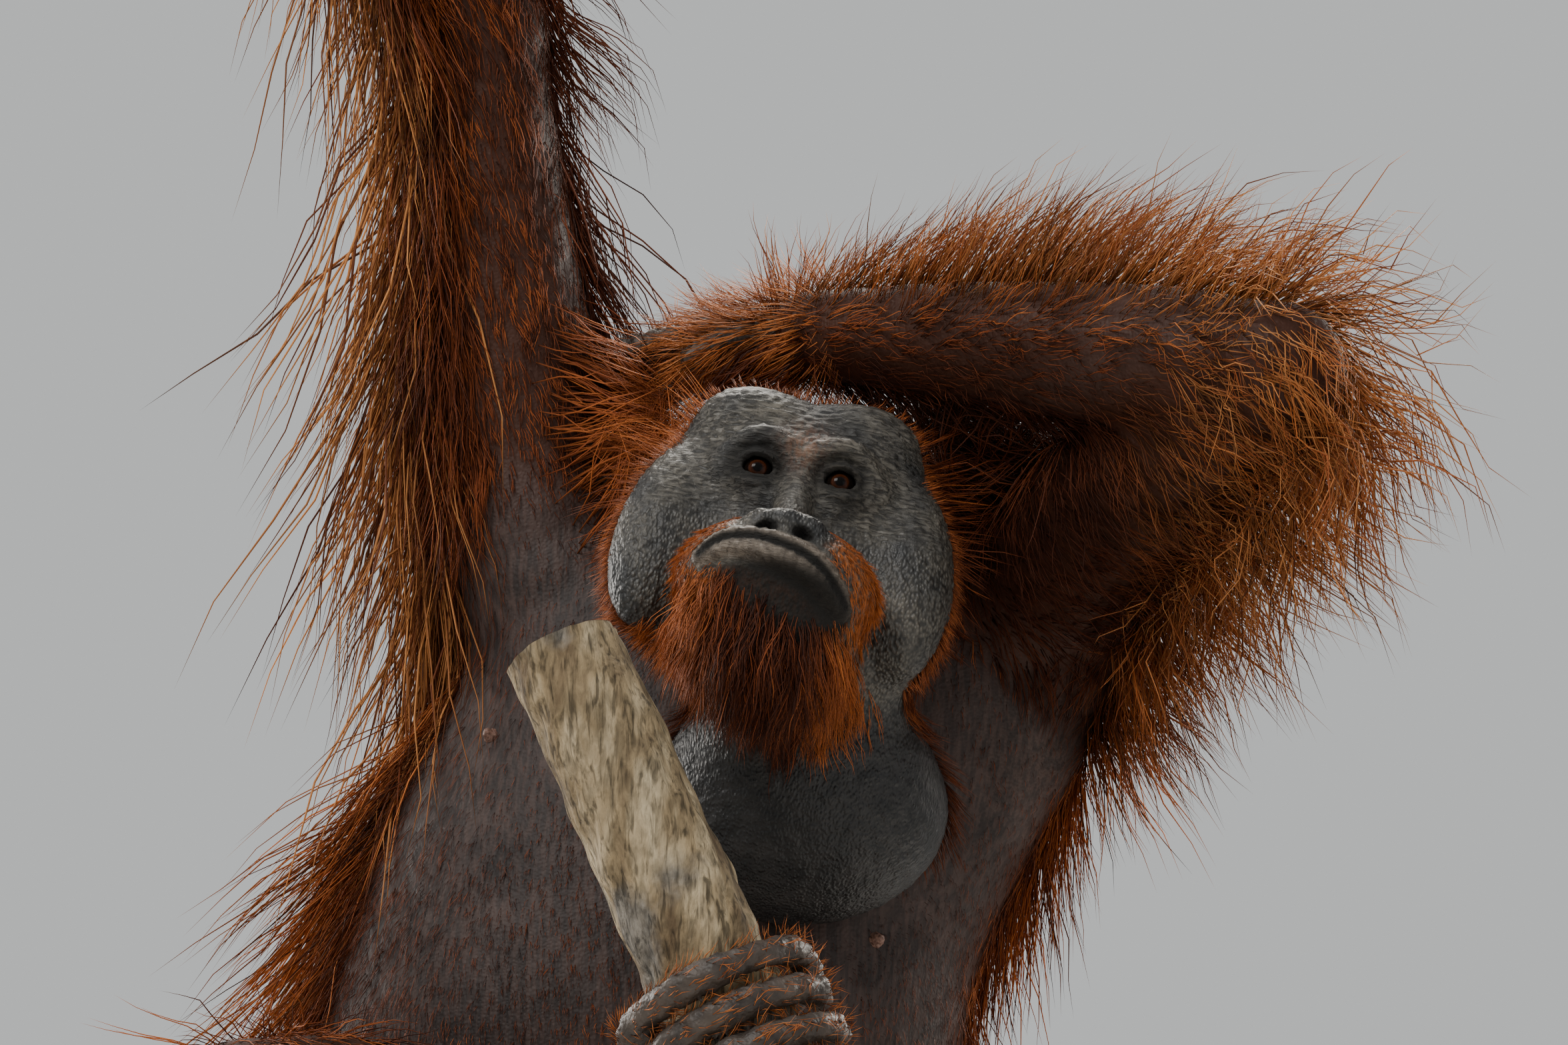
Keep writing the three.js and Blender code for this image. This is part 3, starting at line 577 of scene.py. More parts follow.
class Nodes:
    """A material's node tree, with short calls for the nodes that this scene uses."""

    def __init__(self, name, axes=None):
        self.axes = axes
        self.material = bpy.data.materials.new(name)
        self.material.use_nodes = True
        self.tree = self.material.node_tree
        self.shader = self.tree.nodes["Principled BSDF"]

    def link(self, source, target):
        if isinstance(source, (int, float)):
            target.default_value = (source, source, source, 1.0) if target.type == "RGBA" else source
        elif isinstance(source, tuple):
            target.default_value = (*source, 1.0)
        else:
            self.tree.links.new(source, target)

    def node(self, kind, **inputs):
        made = self.tree.nodes.new(kind)
        for key, value in inputs.items():
            self.link(value, made.inputs[key])
        return made

    def value(self, name):
        made = self.tree.nodes.new("ShaderNodeAttribute")
        made.attribute_name = name
        return made.outputs["Fac"]

    def place(self, scale=(1, 1, 1)):
        """Object coordinates, turned to the material's own axes where it has them, then stretched."""
        coordinates = self.tree.nodes.new("ShaderNodeTexCoord").outputs["Object"]
        if self.axes is not None:
            turn = self.node("ShaderNodeMapping", Vector=coordinates)
            turn.inputs["Rotation"].default_value = Matrix(self.axes).to_euler()
            coordinates = turn.outputs["Vector"]
        mapping = self.node("ShaderNodeMapping", Vector=coordinates)
        mapping.inputs["Scale"].default_value = scale
        return mapping.outputs["Vector"]

    def noise(self, scale, detail=4.0, stretch=(1, 1, 1), bend=0.0):
        made = self.node("ShaderNodeTexNoise", Vector=self.place(stretch), Scale=scale, Detail=detail, Distortion=bend)
        return made.outputs["Fac"]

    def cells(self, scale, stretch=(1, 1, 1)):
        made = self.node("ShaderNodeTexVoronoi", Vector=self.place(stretch), Scale=scale)
        made.feature = "SMOOTH_F1"
        return made.outputs["Distance"]

    def ramp(self, source, *stops):
        made = self.node("ShaderNodeValToRGB", Fac=source)
        ramp = made.color_ramp
        ramp.elements.remove(ramp.elements[1])
        for number, (place, colour) in enumerate(stops):
            element = ramp.elements.new(place) if number else ramp.elements[0]
            element.position = place
            element.color = (*colour, 1.0) if isinstance(colour, tuple) else (colour, colour, colour, 1.0)
        return made.outputs["Color"]

    def mix(self, amount, a, b, how="MIX"):
        made = self.tree.nodes.new("ShaderNodeMixRGB")
        made.blend_type = how
        self.link(amount, made.inputs["Fac"])
        self.link(a, made.inputs["Color1"])
        self.link(b, made.inputs["Color2"])
        return made.outputs["Color"]

    def sum(self, a, b, how="ADD"):
        made = self.tree.nodes.new("ShaderNodeMath")
        made.operation = how
        self.link(a, made.inputs[0])
        self.link(b, made.inputs[1])
        return made.outputs["Value"]

    def bump(self, height, distance, under=None):
        made = self.node("ShaderNodeBump", Height=height, Distance=distance, Strength=1.0)
        if under is not None:
            self.link(under, made.inputs["Normal"])
        return made.outputs["Normal"]

    def finish(self, colour, roughness, normal=None, specular=0.5):
        self.link(colour, self.shader.inputs["Base Color"])
        self.link(roughness, self.shader.inputs["Roughness"])
        self.shader.inputs["Specular IOR Level"].default_value = specular
        if normal is not None:
            self.link(normal, self.shader.inputs["Normal"])
        return self.material


SLATE = (0.021, 0.021, 0.021)
OLIVE = (0.088, 0.078, 0.062)
# Near black for painted shade in the face's hollows and under the lower lip.
PAINTED_SHADE = (0.008, 0.007, 0.006)
LIP_GREY = (0.19, 0.155, 0.122)
STUBBLE = (0.36, 0.115, 0.03)
CHEST = (0.052, 0.036, 0.032)
CHEST_DARK = (0.016, 0.011, 0.010)
SAC = (0.022, 0.020, 0.019)
SAC_DARK = (0.005, 0.005, 0.005)
LIP_DARK = (0.085, 0.066, 0.05)
STREAK_DARK, STREAK = (0.016, 0.010, 0.008), (0.10, 0.058, 0.045)
UNDER_COAT = (0.045, 0.014, 0.006)
PALM_DARK, PALM = (0.020, 0.015, 0.012), (0.085, 0.063, 0.048)
NIPPLE_DARK, NIPPLE = (0.11, 0.055, 0.04), (0.24, 0.135, 0.10)
NAIL_DARK, NAIL = (0.03, 0.025, 0.02), (0.09, 0.07, 0.055)
RED_DARK, RED, ORANGE = (0.034, 0.009, 0.004), (0.215, 0.050, 0.013), (0.52, 0.145, 0.032)
# Pale orange for painted backlight glow on the coat, and for paler tufts at random.
PALE_AND_BACKLIT_HAIR = (0.70, 0.29, 0.090)
BARK_DARK, BARK, BARK_PALE = (0.13, 0.088, 0.048), (0.31, 0.23, 0.13), (0.52, 0.42, 0.27)
LICHEN_DARK, LICHEN = (0.10, 0.092, 0.08), (0.25, 0.23, 0.20)
WOOD_DARK, WOOD = (0.40, 0.27, 0.14), (0.56, 0.41, 0.24)
RING_DARK, RING = (0.22, 0.13, 0.06), (0.62, 0.47, 0.29)
PAINT_DARK, PAINT = (0.055, 0.055, 0.06), (0.07, 0.07, 0.075)
FLOOR = (0.62, 0.61, 0.59)


def face_material():
    """Slate skin with fine creases across the brow and small pebbles down the cheeks.

    Marks: 'dark' for painted shade in the sockets, nostrils, mouth slit and under the lower lip, 'lip', 'warm' for
    orange stubble, 'chest' for the throat, 'brow'.
    """
    n = Nodes("face_skin", HEAD_AXES)
    patches = n.ramp(n.noise(24, 6), (0.34, SLATE), (0.70, OLIVE))
    pebbles = n.cells(500, (1, 1, 0.6))
    creases = n.noise(360, 5, (0.28, 1, 1.25), 0.5)
    relief = n.mix(n.value("brow"), n.ramp(pebbles, (0.1, 1.0), (0.62, 0.0)),
                   n.ramp(creases, (0.38, 0.0), (0.6, 1.0)))
    # The relief is painted into the colour as well: lighter where it is raised, painted shade in its grooves.
    colour = n.mix(0.8, patches, n.mix(0.85, 0.5, relief), "OVERLAY")
    colour = n.mix(n.value("lip"), colour, n.ramp(n.noise(220, 4), (0.35, LIP_DARK), (0.65, LIP_GREY)))
    stubble = n.sum(n.value("warm"), n.ramp(n.noise(420, 4, (1, 1, 0.4)), (0.40, 0.15), (0.58, 1.0)), "MULTIPLY")
    colour = n.mix(stubble, colour, STUBBLE)
    colour = n.mix(n.value("chest"), colour, n.ramp(n.noise(60, 5), (0.35, SAC_DARK), (0.7, SAC)))
    # Painted shade: the 'dark' mark turns the sockets, nostrils, mouth slit and the chin under the lower lip near
    # black.
    colour = n.mix(n.value("dark"), colour, PAINTED_SHADE)
    normal = n.bump(n.noise(60, 5), 0.0005)
    normal = n.bump(relief, 0.0008, normal)
    normal = n.bump(n.noise(1100, 3), 0.00025, normal)
    roughness = n.mix(n.value("dark"), n.ramp(n.noise(140, 4), (0.3, 0.38), (0.75, 0.58)), 1.0)
    return n.finish(colour, roughness, normal, 0.36)


def body_material():
    n = Nodes("body_skin")
    colour = n.ramp(n.noise(22, 6), (0.35, CHEST_DARK), (0.68, CHEST))
    streaks = n.noise(260, 5, (1, 1, 0.10))
    colour = n.mix(0.3, colour, n.ramp(streaks, (0.42, STREAK_DARK), (0.6, STREAK)))
    colour = n.mix(n.value("furred"), colour, UNDER_COAT)
    normal = n.bump(n.noise(38, 6, (1, 1, 0.6)), 0.0016)
    normal = n.bump(n.cells(420), 0.0005, normal)
    normal = n.bump(streaks, 0.0006, normal)
    return n.finish(colour, 0.60, normal, 0.26)


def hand_material():
    n = Nodes("hand_skin")
    colour = n.ramp(n.noise(55, 6), (0.3, PALM_DARK), (0.7, PALM))
    normal = n.bump(n.noise(120, 8), 0.0016)
    normal = n.bump(n.cells(420), 0.0006, normal)
    return n.finish(colour, 0.55, normal, 0.45)


def nipple_material():
    n = Nodes("nipple")
    colour = n.ramp(n.noise(400, 4), (0.3, NIPPLE_DARK), (0.7, NIPPLE))
    return n.finish(colour, 0.45, n.bump(n.cells(900), 0.0004), 0.35)


def nail_material():
    n = Nodes("nail")
    return n.finish(n.ramp(n.noise(300, 4), (0.3, NAIL_DARK), (0.7, NAIL)), 0.3)


def coat_material():
    """Hair: mark 'tint' draws a colour for each tuft, darker where painted shade is given to it; 'along' runs from
    root 0 to tip 1 and darkens the roots as painted shade; 'glow' mixes in pale hair, painted backlight glow on some
    tufts and paler tufts at random on others.
    """
    n = Nodes("coat_hair")
    shade = n.ramp(n.value("tint"), (0.0, RED_DARK), (0.5, RED), (1.0, ORANGE))
    # Painted shade: tufts are darker towards their roots, down inside the coat.
    roots = n.ramp(n.value("along"), (0.0, 0.38), (0.45, 1.0))
    colour = n.mix(1.0, shade, roots, "MULTIPLY")
    # Painted backlight glow where the 'glow' mark comes from lit edges; paler tufts at random elsewhere.
    colour = n.mix(n.value("glow"), colour, PALE_AND_BACKLIT_HAIR)
    return n.finish(colour, 0.60, None, 0.16)


def branch_material():
    n = Nodes("branch_bark")
    base = n.ramp(n.noise(48, 8, (1, 1, 0.3), 0.4), (0.32, BARK_DARK), (0.50, BARK), (0.70, BARK_PALE))
    grey = n.ramp(n.noise(14, 6, (1, 1, 0.7)), (0.54, 0.0), (0.62, 0.85))
    colour = n.mix(grey, base, n.ramp(n.noise(150, 5), (0.35, LICHEN_DARK), (0.65, LICHEN)))
    mottle = n.ramp(n.noise(120, 7, (1, 1, 0.5), 0.8), (0.36, 0.45), (0.62, 1.0))
    colour = n.mix(0.8, colour, mottle, "MULTIPLY")
    ridges = n.noise(250, 9, (1, 1, 0.14), 0.6)
    cracks = n.ramp(ridges, (0.36, 0.0), (0.50, 1.0))
    colour = n.mix(1.0, colour, n.ramp(cracks, (0.0, 0.35), (1.0, 1.0)), "MULTIPLY")
    normal = n.bump(n.noise(70, 8, (1, 1, 0.2), 0.5), 0.0040)
    normal = n.bump(ridges, 0.0020, normal)
    normal = n.bump(n.noise(520, 6, (1, 1, 0.5)), 0.0007, normal)
    return n.finish(colour, 0.82, normal, 0.22)


def sawn_material():
    """A sawn end: mark 'pith' is the distance from the middle in millimetres."""
    n = Nodes("branch_sawn")
    rings = n.sum(n.sum(n.value("pith"), 2.2, "MULTIPLY"), 0.0, "SINE")
    colour = n.mix(0.3, n.ramp(n.noise(60, 6), (0.3, WOOD_DARK), (0.7, WOOD)),
                   n.ramp(n.sum(rings, 0.5), (0.0, RING_DARK), (1.0, RING)))
    return n.finish(colour, 0.78, n.bump(n.noise(700, 4), 0.0004), 0.2)


def stand_material():
    n = Nodes("stand_paint")
    colour = n.ramp(n.noise(500, 2), (0.4, PAINT_DARK), (0.6, PAINT))
    return n.finish(colour, n.ramp(n.noise(30, 4), (0.3, 0.38), (0.7, 0.48)), n.bump(n.noise(1500, 2), 0.00012))


def eye_material():
    """Mark 'gaze' is the angle from the pupil's middle in degrees, over 90."""
    n = Nodes("eye")
    streaks = n.noise(900, 4)
    iris = n.ramp(n.value("gaze"), (0.0, (0.002, 0.002, 0.002)), (0.165, (0.003, 0.002, 0.002)),
                  (0.195, (0.020, 0.006, 0.003)), (0.31, (0.042, 0.012, 0.004)), (0.38, (0.008, 0.004, 0.003)),
                  (0.43, (0.006, 0.004, 0.003)), (1.0, (0.008, 0.006, 0.005)))
    colour = n.mix(0.35, iris, n.ramp(streaks, (0.35, 0.3), (0.65, 0.75)), "OVERLAY")
    return n.finish(colour, 0.11, None, 0.09)


# Skins.
HEAD_STEP = 2.1
BODY_STEP = 6.2
HAND_STEP = 3.1
HEAD_MIDDLE, HEAD_REACH = (40, -110, 1210), 260
HEAD_NODES = ["head", "ear_r", "ear_l", "throat_sac", "neck"]
BOX_MARGIN = 8.0


def node_box(names):
    """Low and high corners of CAD nodes, in millimetres."""
    corners = [node.matrix_world @ Vector(c) for node in map(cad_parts.get, names) for c in node.bound_box]
    corners = np.array(corners) / MM
    return corners.min(0) - BOX_MARGIN, corners.max(0) + BOX_MARGIN


def fade(value, full, none):
    """1 where value is at full, 0 where it is at none, smooth between."""
    t = np.clip((value - none) / (full - none), 0, 1)
    return t * t * (3 - 2 * t)


def ripples(along, wave, stray, p, size, seed):
    """Folds of the given wavelength, which wander by stray."""
    return np.sin(along * 2 * math.pi / wave + stray * wobble(p, size, seed))


def wrinkle_depth(q):
    """Real folds of the face, in head-frame millimetres: round the eyes, over the nose, along the lips."""
    m = mirrored(q)
    depth = np.zeros(len(q))
    around = np.hypot((m[:, 0] - EYE_ACROSS) / 1.25, m[:, 2] - 0.5)
    front = fade(q[:, 1], 10, 30)
    rings = ripples(around, 3.3, 1.2, q, 16, 5)
    depth += 0.42 * rings * fade(around, 15, 12.5) * fade(around, 17, 30) * front
    brow = np.exp(-((m[:, 0] / 20) ** 2) - ((q[:, 2] - 12) / 16) ** 2)
    depth += 0.5 * ripples(q[:, 2], 4.2, 1.5, q, 22, 6) * brow * front
    forehead = fade(q[:, 2], 30, 18) * fade(q[:, 2], 60, 85) * front
    depth += 0.34 * ripples(q[:, 2], 6.2, 1.8, q, 30, 7) * forehead
    cheek = fade(m[:, 0], 58, 40) * fade(q[:, 1], 30, 60)
    arcs = np.hypot(m[:, 0] + 30, (q[:, 2] + 20) * 0.8)
    depth += 0.2 * ripples(arcs, 5.6, 2.2, q, 22, 8) * cheek
    mouth = lips_gap(q)
    creases = ripples(q[:, 0], 2.9, 1.1, q, 12, 9)
    depth += 0.3 * creases * fade(mouth, 0.5, 5)
    depth += 0.25 * wobble(q, 7, 10, 24) * fade(q[:, 1], 60, 90)
    return depth


def head_skin():
    smooth, quads, normals = surface(head_and_throat, *node_box(HEAD_NODES), HEAD_STEP)
    q = to_head(smooth)
    on_head = fade(throat(smooth), 25, 3)
    points = smooth + normals * (wrinkle_depth(q) * on_head * HEAD_SIZE)[:, None]
    sac = 1 - on_head
    folds = ripples(points[:, 2], 15, 1.5, points, 60, 21) * 0.22
    points = points + normals * (folds * sac + 0.22 * sac * wobble(points, 9, 22))[:, None]
    skin = new_mesh("skin_head", points, quads)
    m = mirrored(q)
    eye_gap = np.linalg.norm(m - np.array([EYE_ACROSS, 0, 0]), axis=1)
    # Painted shade: near black in the eye sockets, the nostrils and the mouth slit.
    socket = 0.85 * fade(eye_gap, 15, 32) * fade(m[:, 1], 5, 20)
    nostrils = fade(nostril(m), 0.4, 2.6)
    slit = fade(mouth_slit(q), 1.0, 5)
    # Painted shadow under the lower lip.
    chin = fade(egg(q, (4, -40, -126), (42, 30, 20)), 0, 14) * 0.95
    lips = lips_gap(q)
    muzzle = egg(m, (0, -16, -95), (64, 48, 42))
    ring = fade(np.abs(muzzle), 0, 11) * fade(lips, 12, 5) * fade(q[:, 1], -5, 22)
    ring *= fade(np.linalg.norm(m - np.array([10, -55, -74]), axis=1), 30, 18)
    brow = np.exp(-(q[:, 0] / 14) ** 2 - ((q[:, 2] - 20) / 20) ** 2) * 0.28
    # The 'dark' mark is painted shade.
    mark(skin, "dark", np.clip(np.max([socket, nostrils, slit, chin], axis=0), 0, 1))
    mark(skin, "lip", fade(lips, 1.0, 4.5))
    mark(skin, "warm", np.clip(0.7 * ring + brow, 0, 1))
    mark(skin, "chest", sac)
    across = fade(m[:, 0] + 0.4 * (q[:, 2] - 10) * (q[:, 2] < 10), 72, 95) * fade(q[:, 2], -22, -48)
    mark(skin, "brow", np.maximum(across, fade(lips, 1, 9)))
    return skin, smooth, quads, normals


def body_skin():
    points, quads, normals = surface(body, *node_box(["torso", *LIMBS]), BODY_STEP)
    skin = new_mesh("skin_body", points, quads)
    bare = bare_chest(points)
    mark(skin, "furred", 1 - bare)
    return skin, points, quads, normals


ARM_LINE = np.array(LIMBS["upper_arm_r"] + LIMBS["forearm_r"][1:])


def arm_strip(p):
    """1 on the thinly haired strip that runs up the raised arm on the head's side."""
    x, y, radius = (np.interp(p[:, 2], ARM_LINE[:, 2], ARM_LINE[:, i]) for i in (0, 1, 3))
    inward, forward = (p[:, 0] - x) / radius, (y - p[:, 1]) / radius
    near = fade(np.hypot(inward, forward), 1.3, 1.7) * fade(p[:, 2], 1400, 1330) * fade(p[:, 2], 1880, 1960)
    return near * fade(inward, 0.74, 0.4) * fade(forward, 0.0, -0.35)


def bare_chest(p):
    """1 on the thinly haired chest and belly, 0 in the long coat."""
    front = fade(p[:, 1], -5, 50)
    high = fade(p[:, 2], 980, 850) * fade(p[:, 2], 1400, 1520)
    left_arm = fade(limb(p, "upper_arm_l"), 50, 5)
    legs = fade(np.min([limb(p, part + side) for part in ("thigh_", "shin_") for side in "rl"], axis=0), 45, 8)
    right_arm = fade(p[:, 2], 1330, 1440)
    return np.maximum(front * high * left_arm * legs * np.maximum(right_arm, 0.15), 0.5 * arm_strip(p))


# The coat: closed tapering tufts of three sides. Each is one row of the arrays below.
SIDES = 3
PATCH = 0.003
ROOT_SUNK = 1.5


def taper(rings):
    return np.interp(np.arange(rings) / rings, [0, 0.2, 0.6, 1], [0.75, 1.0, 0.8, 0.15])


def scatter(points, quads, normals, wanted, density, rng):
    """Roots on a quad mesh, drawn by area times density(places, normals), with their normals."""
    a, b, c, d = (points[quads[:, i]] for i in range(4))
    area = np.linalg.norm(np.cross(c - a, d - b), axis=1) / 2
    share = area * density((a + b + c + d) / 4, unit(sum(normals[quads[:, i]] for i in range(4))))
    chosen = rng.choice(len(quads), wanted, p=share / share.sum())
    u, v = rng.random((2, wanted, 1))
    weights = [(1 - u) * (1 - v), u * (1 - v), u * v, (1 - u) * v]
    corners = quads[chosen]
    root = sum(w * points[corners[:, i]] for i, w in enumerate(weights))
    normal = unit(sum(w * normals[corners[:, i]] for i, w in enumerate(weights)))
    return root, normal


def clumps(root, size, seed):
    """For roots that share a clump of about size millimetres: its middle, and six numbers from 0 to 1."""
    bent = root + np.stack([wobble(root, size * 4, seed + i) for i in range(3)], 1) * size * 0.35
    _, key = np.unique(np.floor(bent / size).astype(int), axis=0, return_inverse=True)
    key = key.ravel()
    count = np.bincount(key)
    middle = np.stack([np.bincount(key, root[:, i]) / count for i in range(3)], 1)
    return middle[key], np.random.default_rng(seed).random((len(count), 6))[key]


def grow(root, normal, lie, length, stand, sag, curl, rings, seed, clump=20.0, pull=0.5, sway=0.55):
    """Ring middles and tips of tufts that leave the skin between lie and normal, then bend down and curl."""
    rng = np.random.default_rng(seed)
    middle, shared = clumps(root, clump, seed)
    own = rng.normal(size=root.shape)
    lie = lie - normal * np.sum(lie * normal, axis=1, keepdims=True)
    size = np.linalg.norm(lie, axis=1, keepdims=True)
    flat = lie / np.maximum(size, 0.35)
    way = unit(flat + normal * stand[:, None] + (shared[:, :3] - 0.5) * sway + own * sway * 0.22)
    length = length * (0.7 + 0.55 * shared[:, 3]) * rng.uniform(0.78, 1.12, len(root))
    side = unit(np.cross(way, normal) + own * 0.15)
    phase = shared[:, 4] * 2 * math.pi + rng.normal(size=len(root)) * 0.35
    turns = (0.7 + 0.8 * shared[:, 5]) * 2 * math.pi
    place = root - normal * ROOT_SUNK
    paths = [place]
    for ring in range(rings):
        t = (ring + 0.5) / rings
        bend = DOWN * (sag * t * 1.6)[:, None]
        angle = phase + turns * t
        wave = np.cos(angle)[:, None] * side + 0.7 * np.sin(angle)[:, None] * normal
        step = unit(way + bend + wave * (curl * min(1, 2 * t))[:, None]) * (length / rings)[:, None]
        place = place + step
        paths.append(place)
    paths = np.stack(paths, 1)
    gather = (middle - root)[:, None] * (pull * np.linspace(0, 1, rings + 1) ** 0.8)[None, :, None]
    return paths + gather, length


def clear_of(paths, field, gap, middle=None, reach=None):
    """Moves ring middles that lie in the flesh out to gap above it."""
    for ring in range(1, paths.shape[1]):
        p = paths[:, ring]
        rows = np.arange(len(p))
        if middle is not None:
            rows = rows[np.linalg.norm(p - np.array(middle), axis=1) < reach]
        for _ in range(2):
            d = field(p[rows])
            low = rows[d < gap]
            if len(low):
                slope = unit(gradient(field, p[low], 2.0))
                p[low] += slope * (gap - d[d < gap])[:, None]
            rows = low
            if not len(rows):
                break
    return paths


OVER_BODY, OVER_HEAD = 2.0, 2.5


def out_of_flesh(paths):
    return clear_of(clear_of(paths, body, OVER_BODY), head_and_throat, OVER_HEAD, HEAD_MIDDLE, HEAD_REACH)


def strands(name, paths, normal, width, uv, marks):
    """One joined mesh of closed three-sided tufts along paths (n, rings + 1, 3), the last row their tips."""
    count, rings = len(paths), paths.shape[1] - 1
    onward = unit(np.diff(paths, axis=1))
    vertices = np.empty((count, rings * SIDES + 1, 3))
    across = unit(np.cross(onward[:, 0], normal))
    for ring, wide in enumerate(taper(rings)):
        way = onward[:, ring]
        side = unit(across - way * np.sum(across * way, axis=1, keepdims=True))
        up = np.cross(side, way)
        half = (width * wide / 2)[:, None]
        for k in range(SIDES):
            a = 2 * math.pi * (k + 0.25) / SIDES
            vertices[:, ring * SIDES + k] = paths[:, ring] + side * half * math.cos(a) + up * half * 0.7 * math.sin(a)
    vertices[:, -1] = paths[:, -1]
    faces = []
    for ring in range(rings - 1):
        for k in range(SIDES):
            a, b = ring * SIDES + k, ring * SIDES + (k + 1) % SIDES
            faces += [(a, b, b + SIDES), (a, b + SIDES, a + SIDES)]
    last = (rings - 1) * SIDES
    faces += [(last + k, last + (k + 1) % SIDES, rings * SIDES) for k in range(SIDES)]
    faces.append((2, 1, 0))
    faces = np.array(faces)
    per = rings * SIDES + 1
    index = (faces[None] + np.arange(count)[:, None, None] * per).reshape(-1, 3)
    obj = new_mesh(name, vertices.reshape(-1, 3), index)
    local = np.array([[(v % SIDES) / SIDES, (v // SIDES) / rings] for v in range(per)])
    layer = obj.data.uv_layers.new(name="OFBake")
    patch = uv[:, None] + (local[None] * PATCH)
    layer.data.foreach_set("uv", patch.reshape(-1, 2)[index.ravel()].astype(np.float32).ravel())
    mark(obj, "along", np.tile([*np.repeat(np.arange(rings) / rings, SIDES), 1.0], count))
    for key, values in marks.items():
        mark(obj, key, np.repeat(values, per))
    return obj


TRIANGLES_TO_A_PIECE = 180000


def coat_pieces(name, paths, normal, width, uv, tint, glow, colours):
    """The tufts as pieces that each stay under the limit of triangles."""
    per = 6 * (paths.shape[1] - 2) + 4
    pieces = -(-len(paths) * per // TRIANGLES_TO_A_PIECE)
    order = np.lexsort((uv[:, 0], np.floor(uv[:, 1] * 3)))
    for number, part in enumerate(np.array_split(order, pieces)):
        marks = {"tint": tint[part], "glow": glow[part]}
        coat = strands(f"{name}_{number + 1}", paths[part], normal[part], width[part], uv[part], marks)
        dress(coat, colours)


# Where a root lies on the body: its region, how far along it and round it, which also give its place on the unwrap.
REGIONS = ["torso", *LIMBS, "head", "throat", "hands"]
UNWRAP_COLUMNS = 4


def unwrap(region, along, around):
    row, column = np.divmod(region, UNWRAP_COLUMNS)
    rows = -(-len(REGIONS) // UNWRAP_COLUMNS)
    u = (column + 0.02 + 0.95 * np.mod(around, 1)) / UNWRAP_COLUMNS
    v = (row + 0.02 + 0.95 * np.clip(along, 0, 1)) / rows
    return np.stack([u, v], 1)


def body_regions(p):
    """Region number, place along it 0 to 1, turn round it 0 to 1, and the region's own direction."""
    distances = [trunk(p)]
    for name in LIMBS:
        distances.append(limb(p, name))
    region = np.argmin(np.stack(distances), axis=0)
    along, around = np.zeros(len(p)), np.zeros(len(p))
    way = np.tile([0.0, 0.0, 1.0], (len(p), 1))
    for number, name in enumerate(["torso", *LIMBS]):
        here = region == number
        rows = spline((TORSO if name == "torso" else LIMBS[name]), 4)[:, :3]
        gaps = np.linalg.norm(p[here][:, None] - rows[None], axis=2)
        nearest = np.argmin(gaps, axis=1)
        along[here] = nearest / (len(rows) - 1) + np.random.default_rng(number).uniform(-0.03, 0.03, here.sum())
        tangent = unit(np.gradient(rows, axis=0))[nearest]
        way[here] = tangent
        offset = p[here] - rows[nearest]
        u = unit(np.cross(tangent, np.array([0.3, 1, 0.2])))
        v = np.cross(tangent, u)
        around[here] = np.arctan2(np.sum(offset * v, 1), np.sum(offset * u, 1)) / (2 * math.pi) + 0.5
    return region, along, around, way


# Each region's hair: its length in mm on the front and on the far side, its lie as shares of the limb's own way
# and down, how far it stands off the skin, and how far its weight bends it down.
COAT_STYLE = {
    "torso": {"front": 34, "far": 135, "lie": (-0.4, 0.8), "stand": 0.16, "sag": 0.25},
    "upper_arm_r": {"front": 28, "far": 180, "lie": (-0.5, 0.7), "stand": 0.18, "sag": 0.5},
    "forearm_r": {"front": 34, "far": 130, "lie": (-0.5, 0.6), "stand": 0.24, "sag": 0.4},
    "upper_arm_l": {"front": 62, "far": 150, "lie": (0.45, 0.6), "stand": 0.25, "sag": 0.45},
    "forearm_l": {"front": 54, "far": 88, "lie": (-0.8, -0.1), "stand": 0.35, "sag": 0.05},
    "thigh_r": {"front": 70, "far": 95, "lie": (0.5, 0.6), "stand": 0.2, "sag": 0.3},
    "shin_r": {"front": 62, "far": 75, "lie": (0.5, 0.5), "stand": 0.22, "sag": 0.3},
    "thigh_l": {"front": 70, "far": 95, "lie": (0.5, 0.6), "stand": 0.2, "sag": 0.3},
    "shin_l": {"front": 62, "far": 75, "lie": (0.6, 0.4), "stand": 0.22, "sag": 0.3},
}
COAT_PAST_BOX = 24.0
LONG_COUNT = 20600
SHORT_COUNT = 21000
FINE_COUNT = 8000


RAISED = ("upper_arm_r", "forearm_r")


def facing(normal):
    return normal @ -SIGHT


